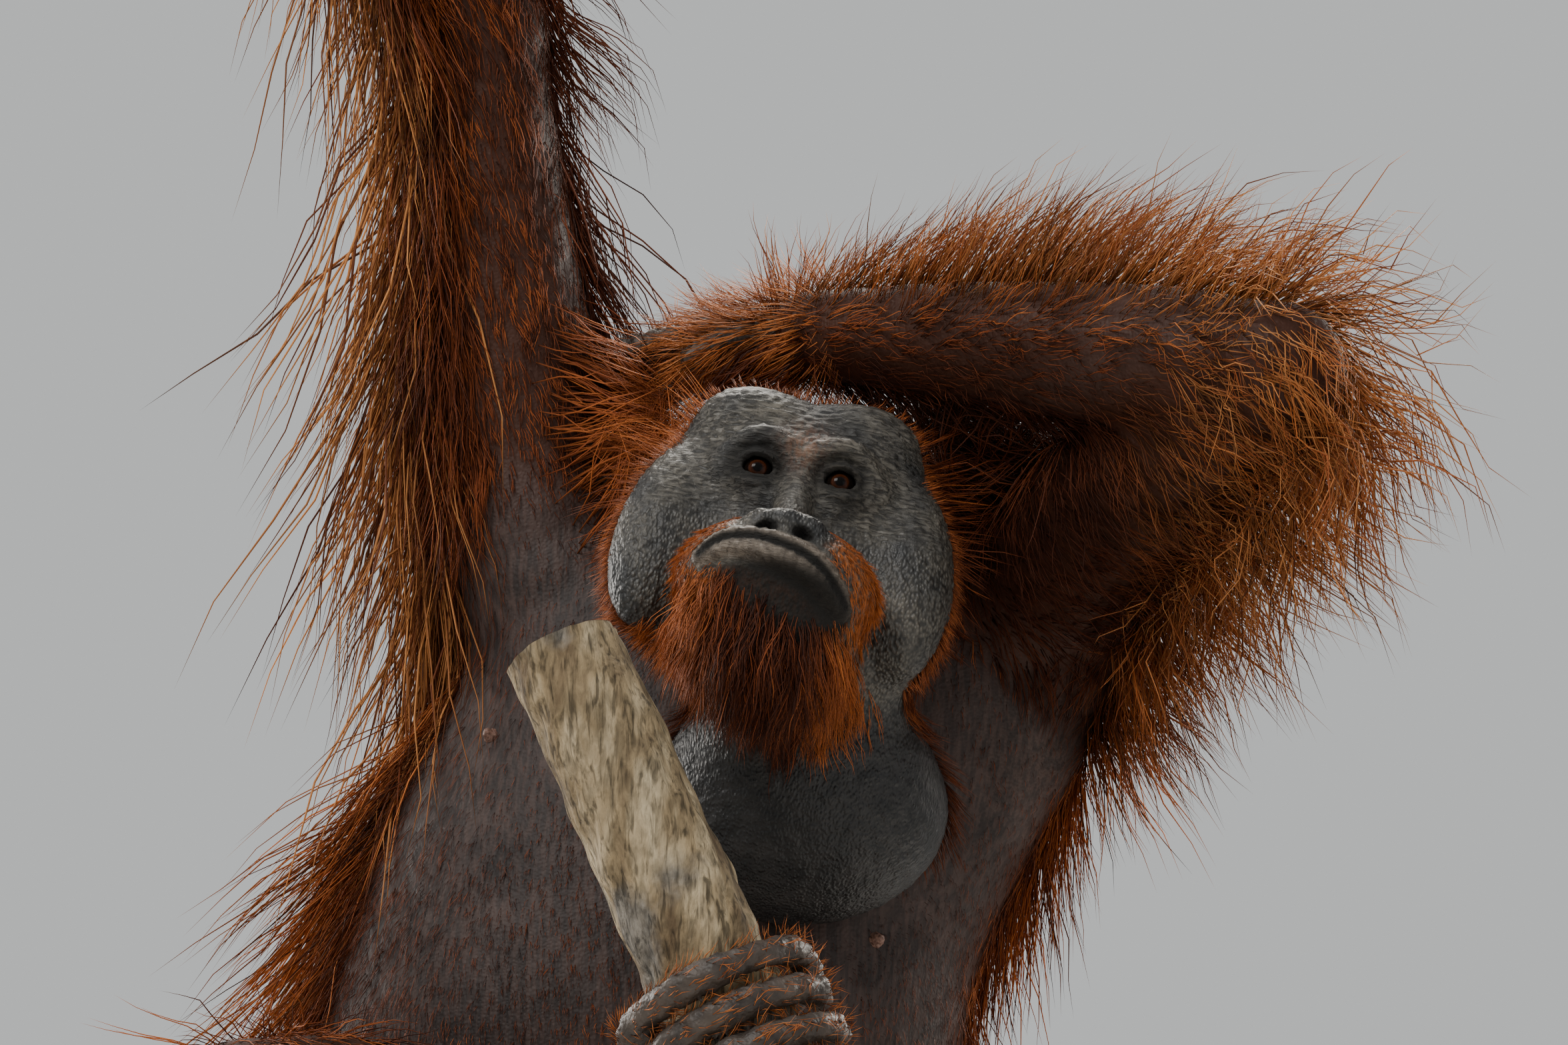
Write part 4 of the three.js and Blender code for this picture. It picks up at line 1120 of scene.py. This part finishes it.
def coat_fields(root, normal):
    """Region, unwrap place, lie, length, stand, sag, curl, glow and bareness of each body root; the glow is painted
    backlight glow.
    """
    region, along, around, way = body_regions(root)
    bare = bare_chest(root)
    count = len(root)
    length, stand, sag = np.zeros((3, count))
    lie = np.zeros_like(root)
    far = fade(facing(normal), -0.25, 0.45)
    behind = fade(facing(normal), -0.4, 0.12)
    for number, (name, style) in enumerate(COAT_STYLE.items()):
        here = region == number
        away = behind if name in RAISED else far
        length[here] = style["front"] + (style["far"] - style["front"]) * away[here]
        with_limb, down = style["lie"]
        lie[here] = way[here] * with_limb + DOWN * down
        stand[here] = style["stand"]
        sag[here] = style["sag"]

    def on(*names):
        return np.isin(region, [REGIONS.index(name) for name in names])

    curl = np.full(count, 0.26)

    def push(share, longer=0, off=0, towards=(0, 0, 0), curlier=0):
        nonlocal length, stand, lie, curl
        length, stand = length + share * longer, stand + share * off
        lie, curl = lie + share[:, None] * np.array(towards), curl + share * curlier

    up = fade(normal[:, 2], 0.75, 0.0) * on("forearm_l")
    push(up, 34, 0.9, (0.15, 0, 0.55), 0.12)
    under = fade(normal[:, 2], -0.8, -0.1) * on("forearm_l") * fade(root[:, 0], 330, 260)
    push(under, 42, towards=(0, 0.25, -1.2))
    crest = fade(normal[:, 2], 0.85, 0.35) * on("torso", "upper_arm_l")
    push(crest, 30, 0.35, (0.25, 1.5, 0.3))
    outer = fade(normal[:, 0], -0.85, -0.25) * on("upper_arm_r", "forearm_r") * fade(root[:, 2], 1900, 2000)
    push(outer, 120, 0, (-0.35, 0, -0.2), 0.12)
    flank = fade(normal[:, 0], -0.8, -0.3) * on("torso")
    push(flank, 70, 0.2)
    elbow = fade(root[:, 0], 350, 240) * on("upper_arm_l", "forearm_l")
    push(elbow, 12, 0, (0.55, 0.1, -0.75), 0.55)
    crook = fade(normal[:, 0], 0.8, 0.1) * on("forearm_r", "upper_arm_r") * fade(root[:, 2], 1700, 1600)
    push(crook, 25, curlier=0.35)
    wrists = fade(along, 0.97, 0.75) * on("forearm_r", "forearm_l", "shin_r", "shin_l")
    length *= 1 - 0.35 * wrists
    length *= 1 - 0.6 * bare
    push(on(*RAISED) * (1 - behind), towards=(0.45, 0, -0.2))
    near_face = fade(face(to_head(root)) * HEAD_SIZE, 12, 70)
    near_sac = fade(throat(root), 20, 70) * fade(root[:, 1], -20, 20)
    length *= (1 - 0.5 * near_face) * (1 - 0.6 * near_sac)
    stand *= 1 - 0.8 * near_sac
    push(near_sac, towards=2 * DOWN)
    edge = fade(facing(normal), -0.1, 0.3)
    # Painted backlight glow: the raised arm's outer side and the flank where turned from the camera, the bent arm's
    # elbow and the top of its forearm.
    glow = np.clip(0.85 * outer * edge + 0.7 * elbow + 0.6 * up + 0.3 * flank * edge, 0, 1)
    return region, unwrap(region, along, around), lie, length, stand, sag, curl, glow, bare


def body_coat(points, quads, normals, colours):
    """Long tufts on the back, flanks and undersides of the arms, shorter ones before them, fine ones on the chest."""
    def long_density(p, n):
        return (1 - bare_chest(p)) * (0.25 + 0.9 * fade(facing(n), -0.2, 0.5)) * np.where(p[:, 2] > 1150, 1.3, 0.6)

    def short_density(p, n):
        high = np.where(p[:, 2] > 1000, 1, 0.7) + 0.6 * ((p[:, 2] > 1400) & (p[:, 0] < -60))
        return (1 - 0.93 * bare_chest(p)) * (0.15 + fade(facing(n), 0.3, -0.5)) * high

    def fine_density(p, n):
        return bare_chest(p) * (0.7 + 1.6 * fade(p[:, 2], 1040, 1180))

    # Name, count, density, rings, share of the length, clump size and seed.
    layers = [
        ("coat_long", LONG_COUNT, long_density, 5, 1.0, 17.0, 61),
        ("coat_short", SHORT_COUNT, short_density, 3, 0.8, 12.0, 62),
        ("coat_fine", FINE_COUNT, fine_density, 2, 0.75, 8.0, 63),
    ]
    for name, count, density, rings, share, clump, seed in layers:
        rng = np.random.default_rng(seed)
        root, normal = scatter(points, quads, normals, count, density, rng)
        covered = np.minimum(face(to_head(root)) * HEAD_SIZE, throat(root)) < np.where(root[:, 1] < 0, 16, 3)
        root, normal = root[~covered], normal[~covered]
        region, uv, lie, length, stand, sag, curl, glow, bare = coat_fields(root, normal)
        paths, length = grow(root, normal, lie, length * share, stand, sag, curl, rings, seed, clump)
        paths = out_of_flesh(paths)
        _, shared = clumps(root, 34, seed + 5)
        tint = np.clip(0.5 + 0.7 * (shared[:, 0] - 0.5) + 0.22 * rng.normal(size=len(root)), 0, 1)
        tint *= 1 - 0.5 * bare * fade(root[:, 2], 1000, 930)
        raised = np.isin(region, [REGIONS.index(name) for name in RAISED])
        # Painted shade: tufts high on the body that face the camera are darker, those of the raised arm most, and the
        # raised arm is darker all over.
        tint *= 1 - np.where(raised, 0.62, 0.4) * fade(facing(normal), -0.1, 0.6) * (root[:, 2] > 1300)
        tint *= 1 - 0.3 * raised
        # Painted shade round the front of the throat sac.
        tint *= 1 - 0.6 * fade(throat(root), 30, 90) * fade(root[:, 1], 0, 40)
        # Painted shade in the hollow inside the bent arm and under its forearm.
        near = (region == REGIONS.index("upper_arm_l")) * fade(root[:, 0], 230, 345) * fade(facing(normal), 0.4, -0.2)
        below = (region == REGIONS.index("forearm_l")) * fade(normal[:, 2], -0.7, 0.2)
        tint *= 1 - 0.8 * near - 0.65 * below
        glow = glow * rng.uniform(0.05, 1, len(root)) ** 1.6
        width = (0.75 + 0.0062 * length) * (1 - 0.35 * bare)
        coat_pieces(name, kept_inside(paths), normal, width, uv, tint, glow, colours)


def kept_inside(paths):
    """Shortens tufts that would leave the model's box by more than COAT_PAST_BOX."""
    low, high = (np.array(corner) / MM for corner in cad_box)
    offsets = paths - paths[:, :1]
    room = np.where(offsets > 0, high + COAT_PAST_BOX - paths[:, :1], low - COAT_PAST_BOX - paths[:, :1])
    share = np.divide(room, offsets, out=np.full(offsets.shape, 9.0), where=np.abs(offsets) > 0.01)
    return paths[:, :1] + offsets * np.clip(share.min(axis=(1, 2)), 0, 1)[:, None, None]


# Hair that fills the two hollows beside the head: red at the raised arm, and dark as painted shade under the bent one.
HOLLOWS = np.array([[150.0, -60.0, 1420.0], [-53.0, -55.0, 1434.0]])
HOLLOW_COUNT = 3300


def hollow_coat(points, quads, normals, colours):
    def inward(p):
        gaps = HOLLOWS[None] - p[:, None]
        return gaps[np.arange(len(p)), np.argmin(np.linalg.norm(gaps, axis=2), axis=1)]

    def density(p, n):
        way = inward(p)
        return fade(np.linalg.norm(way, axis=1), 80, 150) * fade(np.sum(unit(way) * n, axis=1), 0.5, 0.0) + 1e-9
    rng = np.random.default_rng(64)
    root, normal = scatter(points, quads, normals, HOLLOW_COUNT, density, rng)
    way = inward(root)
    length = np.clip(np.linalg.norm(way, axis=1) * 1.2, 40, 95)
    full = np.ones(len(root))
    paths, length = grow(root, normal, unit(way), length, full, 0.1 * full, 0.35 * full, 3, 64, 14.0)
    paths = out_of_flesh(paths)
    region, along, around, _ = body_regions(root)
    # Painted shade: the tufts under the bent arm are near their darkest.
    tint = np.clip(np.where(root[:, 0] < 20, 0.62, 0.14) + 0.14 * rng.normal(size=len(root)), 0, 1)
    width = 0.8 + 0.008 * length
    coat_pieces("coat_hollow", paths, normal, width, unwrap(region, along, around), tint, 0 * full, colours)


# Hair of the head: a short ruff at the face's edge, the crown, stubble at the sides of the muzzle, and the beard.
HEAD_HAIR = {
    "ruff": {"count": 5200, "rings": 2, "clump": 6.0, "seed": 71},
    "crown": {"count": 7500, "rings": 3, "clump": 12.0, "seed": 74},
    "stubble": {"count": 4500, "rings": 2, "clump": 5.0, "seed": 72},
    "beard": {"count": 5500, "rings": 4, "clump": 7.0, "seed": 73},
}


def ruff_share(q, n):
    """The edge of the bald face, where it turns out of sight."""
    turning = fade(facing(n), 0.30, 0.42) * fade(facing(n), -0.45, -0.7)
    return turning * fade(q[:, 1], 66, 80) * fade(q[:, 1], 15, 6) * fade(q[:, 2], -168, -185)


def crown_share(q, n):
    """All the head behind the face."""
    return fade(facing(n), 0.05, 0.2) * fade(q[:, 1], 48, 34) * fade(q[:, 2], -150, -175) * fade(ear(q), 3, 0)


def stubble_share(q, n):
    """The muzzle's sides, between its upper crease and the lips."""
    m = mirrored(q)
    lips = lips_gap(q)
    muzzle = egg(m, (0, -16, -95), (66, 50, 43))
    nose = np.linalg.norm(m - np.array([9, -56, -76]), axis=1)
    beside = np.maximum(fade(over_mouth(q), -3, -10), fade(np.abs(q[:, 0] - 2), 44, 34))
    return fade(lips, 3.5, 1) * fade(muzzle, 2, 7) * fade(nose, 32, 21) * fade(q[:, 2], -62, -52) * beside


def beard_share(q, n):
    """Chin and jaw below the lower lip, up beside the mouth's corners."""
    lips = lip(q, **LOWER_LIP)
    gap = 12 + 20 * fade(np.abs(q[:, 0] - 4), 14, 42)
    below = fade(over_mouth(q), -gap - 3, -gap + 8)
    jaw = fade(np.abs(q[:, 0]), 72, 84) * fade(q[:, 1], 34, 50) * fade(q[:, 2], -176, -190)
    return fade(lips, 5, 1.5) * below * jaw


def head_hair(points, quads, normals, colours):
    shares = {"ruff": ruff_share, "crown": crown_share, "stubble": stubble_share, "beard": beard_share}
    for name, style in HEAD_HAIR.items():
        rng = np.random.default_rng(style["seed"])
        count = style["count"]
        share = shares[name]
        root, normal = scatter(points, quads, normals, count, lambda p, n: share(to_head(p), n) + 1e-9, rng)
        q, n = to_head(root), normal @ HEAD_AXES.T
        m = mirrored(q)
        side = np.sign(q[:, 0])[:, None] * np.array([1.0, 0, 0])
        if name == "ruff":
            length = 16 + 5 * rng.random(len(q))
            lie = unit(q * np.array([1, 0, 1]) + np.array([0, 0, 45.0])) + np.array([0, 0.5, 0])
            stand = np.full(len(q), 0.6)
            dark, glow = 0.52 + 0.2 * rng.normal(size=len(q)), np.full(len(q), 0.05)
        elif name == "crown":
            high = fade(q[:, 2], 60, -20)
            beside = fade(np.abs(q[:, 0]), 70, 40) * fade(q[:, 2], 0, -45)
            length = 30 + 28 * high + 34 * beside
            lie = unit(q * np.array([1, 0, 1])) + np.array([0, 0.5, 0.1])
            stand = 0.6 + 0.5 * beside
            sunny = fade(q[:, 0], -20, 10) * high
            # Painted light: brighter towards the crown's top and on its sunny side, with some painted glow there.
            dark, glow = 0.2 + 0.2 * high + 0.35 * sunny + 0.16 * rng.normal(size=len(q)), 0.12 * sunny
        elif name == "stubble":
            length = 7 + 9 * fade(m[:, 0], 62, 36)
            lie = side * 0.6 + np.array([0, 0.1, -1.0])
            stand = np.full(len(q), 0.30)
            dark, glow = 0.80 + 0.2 * rng.normal(size=len(q)), np.full(len(q), 0.08)
        else:
            outer = fade(m[:, 0], 50, 22)
            front = fade(q[:, 1], -40, 20)
            high = fade(q[:, 2], -104, -122)
            length = (36 + 26 * front) * (1 - 0.2 * outer) * (1 - 0.5 * high)
            lie = side * (0.12 + 0.42 * outer)[:, None] + np.array([0, 0.10, -1.0])
            stand = 0.24 + 0.1 * outer
            bright = 0.45 * (rng.random(len(q)) < 0.12)
            # Painted shade in the beard's middle under the chin; its outer sides brighter, with painted glow.
            dark, glow = 0.06 + 0.62 * outer + bright + 0.10 * rng.normal(size=len(q)), 0.10 * outer
        way = unit(lie) @ HEAD_AXES
        sag = np.full(len(q), 0.3 if name == "beard" else 0.05)
        curl = np.full(len(q), 0.32 if name == "beard" else 0.14)
        sway = 0.55 if name == "beard" else 0.3
        paths, length = grow(root, normal, way, length, stand, sag, curl, style["rings"], style["seed"],
                             style["clump"], 0.55, sway)
        paths = clear_of(paths, head_and_throat, 0.8)
        around = np.arctan2(q[:, 0], q[:, 1] - 40) / (2 * math.pi) + 0.5
        uv = unwrap(np.full(len(q), REGIONS.index("head")), (q[:, 2] + 190) / 290, around)
        width = 0.45 + 0.007 * length
        glow = glow * rng.uniform(0, 1, len(q))
        coat_pieces("coat_" + name, paths, normal, width, uv, np.clip(dark, 0, 1), glow, colours)


def dress(obj, material, body_name="root"):
    obj.data.materials.clear()
    obj.data.materials.append(material)
    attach(obj, body_name)
    return obj


EYE_GRID = (28, 40)
GAZE = unit(-SIGHT + np.array([0.03, 0, 0.40]))


def eyeballs(material):
    """Eyeballs with a raised cornea, looking just over the camera, the way the photo's do."""
    for name, side in (("eye_r", -1), ("eye_l", 1)):
        rows, columns = EYE_GRID
        centre = from_head([side * EYE_ACROSS, 0, 0])
        u = unit(np.cross(GAZE, [0, 0, 1.0]))
        v = np.cross(u, GAZE)
        points, angles = [], []
        for row in range(rows + 1):
            tilt = math.pi * row / rows
            bulge = 0.9 * max(0.0, math.cos(tilt * 2.2)) if tilt < 0.72 else 0.0
            radius = (EYE_RADIUS - 0.35) * HEAD_SIZE + bulge - 0.9
            for k in range(columns):
                a = 2 * math.pi * k / columns
                way = GAZE * math.cos(tilt) + (u * math.cos(a) + v * math.sin(a)) * math.sin(tilt)
                points.append(centre + way * radius)
                angles.append(math.degrees(tilt) / 90)
        ball = new_mesh(name + "_ball", np.array(points), band_quads(rows, columns))
        mark(ball, "gaze", angles)
        dress(ball, material)
        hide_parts(name)


BRANCH_SIDES, SAWN_RINGS = 64, 8
# Place along the branch, turn round it and height in millimetres.
KNOTS = [(0.30, 1.0, 7), (0.72, 3.6, 6), (0.9, 5.2, 5)]


def branch(name, material, ends):
    """The cut branch: bark ridges, knots and a sawn face at each end."""
    low, high = PERCH[name]
    axis = unit(high - low)
    u = unit(np.cross(axis, [0, 1.0, 0.2]))
    v = np.cross(axis, u)
    around = BRANCH_SIDES
    along = int(np.linalg.norm(high - low) / 5)
    rings = []
    for i in range(along + 1):
        t = i / along
        middle = low + (high - low) * t
        for k in range(around):
            a = 2 * math.pi * k / around
            rings.append(np.concatenate([middle, u * math.cos(a) + v * math.sin(a)]))
    rings = np.array(rings)
    spot, way = rings[:, :3], rings[:, 3:]
    trial = spot + way * PERCH_RADIUS
    radius = PERCH_RADIUS - 1.5 + 1.4 * wobble(trial, 170, 31) + 0.9 * wobble(trial * [1, 1, 0.3], 18, 32)
    for place, turn, rise in KNOTS:
        middle = low + (high - low) * place + (u * math.cos(turn) + v * math.sin(turn)) * PERCH_RADIUS
        gap = np.linalg.norm(trial - middle, axis=1)
        radius += rise * np.exp(-(gap / 17) ** 2) - rise * 0.8 * np.exp(-(gap / 7) ** 2)
    points = spot + way * np.minimum(radius, PERCH_RADIUS + 3.5)[:, None]
    bark = dress(new_mesh("branch_" + name, points, band_quads(along, around)), material)
    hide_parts("perch_" + name)
    for end, start, out in (("low", 0, -axis), ("high", along * around, axis)):
        rim = points[start:start + around]
        middle = rim.mean(0)
        discs, faces = [], []
        for ring in range(SAWN_RINGS):
            share = 1 - ring / SAWN_RINGS
            raised = out * (0.6 if ring else -0.2) + out * 0.3 * wobble(rim * share, 9, 34)[:, None]
            discs.append(middle + (rim - middle) * share * (0.985 if ring else 1.0) + raised)
        discs = np.vstack([*discs, middle[None] + out * 0.6])
        turned_out = out @ axis > 0
        for ring in range(SAWN_RINGS):
            inmost = ring == SAWN_RINGS - 1
            for k in range(around):
                a, b = ring * around + k, ring * around + (k + 1) % around
                c, d = (len(discs) - 1,) * 2 if inmost else (a + around, b + around)
                first, second, third, fourth = [a, b, d, c] if turned_out else [b, a, c, d]
                faces.append([first, second, third])
                if not inmost:
                    faces.append([first, third, fourth])
        sawn = new_mesh(f"branch_{name}_{end}", discs, np.array(faces))
        mark(sawn, "pith", np.linalg.norm(discs - middle, axis=1))
        dress(sawn, ends)


# Half width, height and length of a nail's outer and inner face, as shares of the fingertip's radius.
NAIL_FACES = [(0.62, 0.93, 1.05), (0.58, 0.80, 1.0)]


def nails(name, lines, material):
    """A curved nail on each fingertip."""
    points, quads = [], []
    for _, (tip, outward, onward, size) in lines:
        across = unit(np.cross(onward, outward))
        start = len(points)
        for (half, height, reach), i, k in itertools.product(NAIL_FACES, range(6), range(6)):
            s, t = (k / 5 - 0.5) * 2, i / 5
            spread = size * half * (1 - 0.25 * t * t)
            lift = size * (height - 0.34 * s * s - 0.22 * max(t - 0.4, 0))
            points.append(tip + across * spread * s + outward * lift + onward * size * (t * reach - 0.35))
        for i in range(5):
            for k in range(5):
                a = start + i * 6 + k
                b = a + 36
                quads += [[a, a + 1, a + 7, a + 6], [b + 6, b + 7, b + 1, b]]
        rim = [start + k for k in range(5)] + [start + 5 + 6 * i for i in range(5)]
        rim += [start + 35 - k for k in range(5)] + [start + 30 - 6 * i for i in range(5)]
        for j, a in enumerate(rim):
            b = rim[(j + 1) % len(rim)]
            quads.append([b, a, a + 36, b + 36])
    dress(new_mesh("nails_" + name, np.array(points), np.array(quads)), material)


NIPPLES = {"nipple_r": (-191, -48, 1201), "nipple_l": (97, -52, 1039)}


def nipples(material):
    for name, place in NIPPLES.items():
        spot = np.array([place], float)
        for _ in range(4):
            spot -= gradient(body, spot, 2.0) * body(spot)[:, None]
        out = unit(gradient(body, spot, 2.0))[0]

        def field(p):
            d = egg(p, spot[0] - out * 1.5, (7.5, 7.5, 7.5)) + 1.5
            d = np.maximum(d, 3.2 - (p - spot[0]) @ out - 4.2)
            return blend(d, np.linalg.norm(p - spot[0] - out * 4.2, axis=1) - 3.4, 2.5)
        points, quads, normals = surface(field, spot[0] - 14, spot[0] + 14, 0.8)
        rough = points + normals * (0.25 * wobble(points, 3, 55, 20))[:, None]
        piece = new_mesh(name, rough, quads)
        dress(piece, material)


HAND_HAIR = {
    "hand_r": {"count": 1100, "length": (9, 24), "reach": 120, "toes": 0.08},
    "foot_r": {"count": 3400, "length": (17, 36), "reach": 165, "toes": 0.7},
    "foot_l": {"count": 1600, "length": (12, 28), "reach": 140, "toes": 0.4},
    "hand_l": {"count": 2400, "length": (30, 52), "reach": 170, "toes": 0.02},
}


def hand_hair(name, points, quads, normals, wrist, onward, colours):
    """Hair that thins out from the wrist to the fingers."""
    style = HAND_HAIR[name]
    rng = np.random.default_rng(81)
    count = style["count"]

    def density(p, n):
        return fade(np.linalg.norm(p - wrist, axis=1), style["reach"] * 0.35, style["reach"]) + style["toes"]
    root, normal = scatter(points, quads, normals, count, density, rng)
    near = fade(np.linalg.norm(root - wrist, axis=1), 10, style["reach"])
    low, high = style["length"]
    length = low + (high - low) * near
    lie = onward + 0.35 * unit(root - wrist) + DOWN * 0.3
    stand = np.full(count, 0.45) + 0.5 * np.maximum(normal[:, 2], 0) * (name == "hand_l")
    flat = np.full(count, 0.1)
    paths, length = grow(root, normal, lie, length, stand, flat, flat * 2, 2, 82, 8.0)
    uv = unwrap(np.full(count, REGIONS.index("hands")), near, np.arctan2(normal[:, 0], normal[:, 1]) / (2 * math.pi))
    tint = np.clip(0.68 + 0.22 * rng.normal(size=count), 0, 1)
    glow = 0.3 * rng.random(count)
    coat_pieces("coat_" + name, paths, normal, 0.6 + 0.010 * length, uv, tint, glow, colours)


def hands(material, nail, colours):
    parts = {name: grip_lines(name) for name in GRIPS}
    parts["hand_l"] = nape_lines()
    for name, lines in parts.items():
        field = hand_field(lines)
        spots = np.array([row[:3] for row in lines[0]] + [row[:3] for rows, _ in lines[2] for row in rows])
        points, quads, normals = surface(field, spots.min(0) - 44, spots.max(0) + 44, HAND_STEP)
        creases = 0.35 * wobble(points, 5, 41, 20) + 0.5 * wobble(points, 14, 42)
        skin = new_mesh("skin_" + name, points + normals * (creases - 0.4)[:, None], quads)
        dress(skin, material)
        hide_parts(name)
        nails(name, lines[2], nail)
        wrist = np.array(lines[0][0][:3])
        hand_hair(name, points, quads, normals, wrist, unit(spots.mean(0) - wrist), colours)


# Stage, light and camera.
LIGHTS_AIM = (0, 0, 1.35)
LIGHTS = [
    ("key", (-1.3, -2.0, 3.3), 72, 1.2, (1.0, 0.98, 0.95)),
    ("fill", (2.4, -2.4, 1.6), 10, 2.2, (0.95, 0.97, 1.0)),
    ("rim_right", (1.9, 1.5, 2.6), 120, 1.0, (1.0, 0.95, 0.86)),
    ("rim_left", (-2.2, 1.4, 2.2), 90, 1.2, (1.0, 0.96, 0.9)),
    ("rim_top", (0.2, 1.3, 3.6), 110, 1.2, (1.0, 0.95, 0.86)),
]
CAMERA_AIM, CAMERA_AWAY, CAMERA_WIDE = (0.030, -0.200, 1.300), 3.1, 20.2


def area_light(name, place, energy, size, colour):
    light = bpy.data.lights.new(name, "AREA")
    light.energy = energy
    light.size = size
    light.color = colour
    obj = bpy.data.objects.new(name, light)
    obj.location = place
    obj.rotation_euler = (Vector(LIGHTS_AIM) - Vector(place)).to_track_quat("-Z", "Y").to_euler()
    bpy.context.scene.collection.objects.link(obj)


def set_stage():
    bpy.ops.mesh.primitive_plane_add(size=40, location=(0, 0, 0))
    floor = bpy.context.object
    floor.name = "floor"
    n = Nodes("floor_pale")
    floor.data.materials.append(n.finish(FLOOR, 0.85))
    world = bpy.data.worlds.new("studio")
    world.use_nodes = True
    background = world.node_tree.nodes["Background"]
    background.inputs["Color"].default_value = (0.86, 0.88, 0.88, 1)
    background.inputs["Strength"].default_value = 0.66
    bpy.context.scene.world = world
    for light in LIGHTS:
        area_light(*light)


def set_camera():
    data = bpy.data.cameras.new("camera")
    camera = bpy.data.objects.new("camera", data)
    bpy.context.scene.collection.objects.link(camera)
    sight = Vector(SIGHT)
    camera.location = Vector(CAMERA_AIM) - sight * CAMERA_AWAY
    camera.rotation_euler = sight.to_track_quat("-Z", "Y").to_euler()
    data.sensor_width = 36
    data.lens = data.sensor_width / 2 / math.tan(math.radians(CAMERA_WIDE / 2))
    data.clip_end = 100
    bpy.context.scene.camera = camera


coat_colour = coat_material()
head_piece, *head_surface = head_skin()
dress(head_piece, face_material())
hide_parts(*HEAD_NODES)
body_piece, body_points, body_quads, body_normals = body_skin()
dress(body_piece, body_material())
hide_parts("torso", *LIMBS)
hand_skin = hand_material()
hands(hand_skin, nail_material(), coat_colour)
eyeballs(eye_material())
nipples(nipple_material())
bark_colour, sawn_colour = branch_material(), sawn_material()
for perch_name in PERCH:
    branch(perch_name, bark_colour, sawn_colour)
paint = stand_material()
for node_name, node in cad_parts.items():
    if node_name.startswith("stand_"):
        node.data.materials.clear()
        node.data.materials.append(paint)
body_coat(body_points, body_quads, body_normals, coat_colour)
hollow_coat(body_points, body_quads, body_normals, coat_colour)
head_hair(*head_surface, coat_colour)
set_stage()
set_camera()
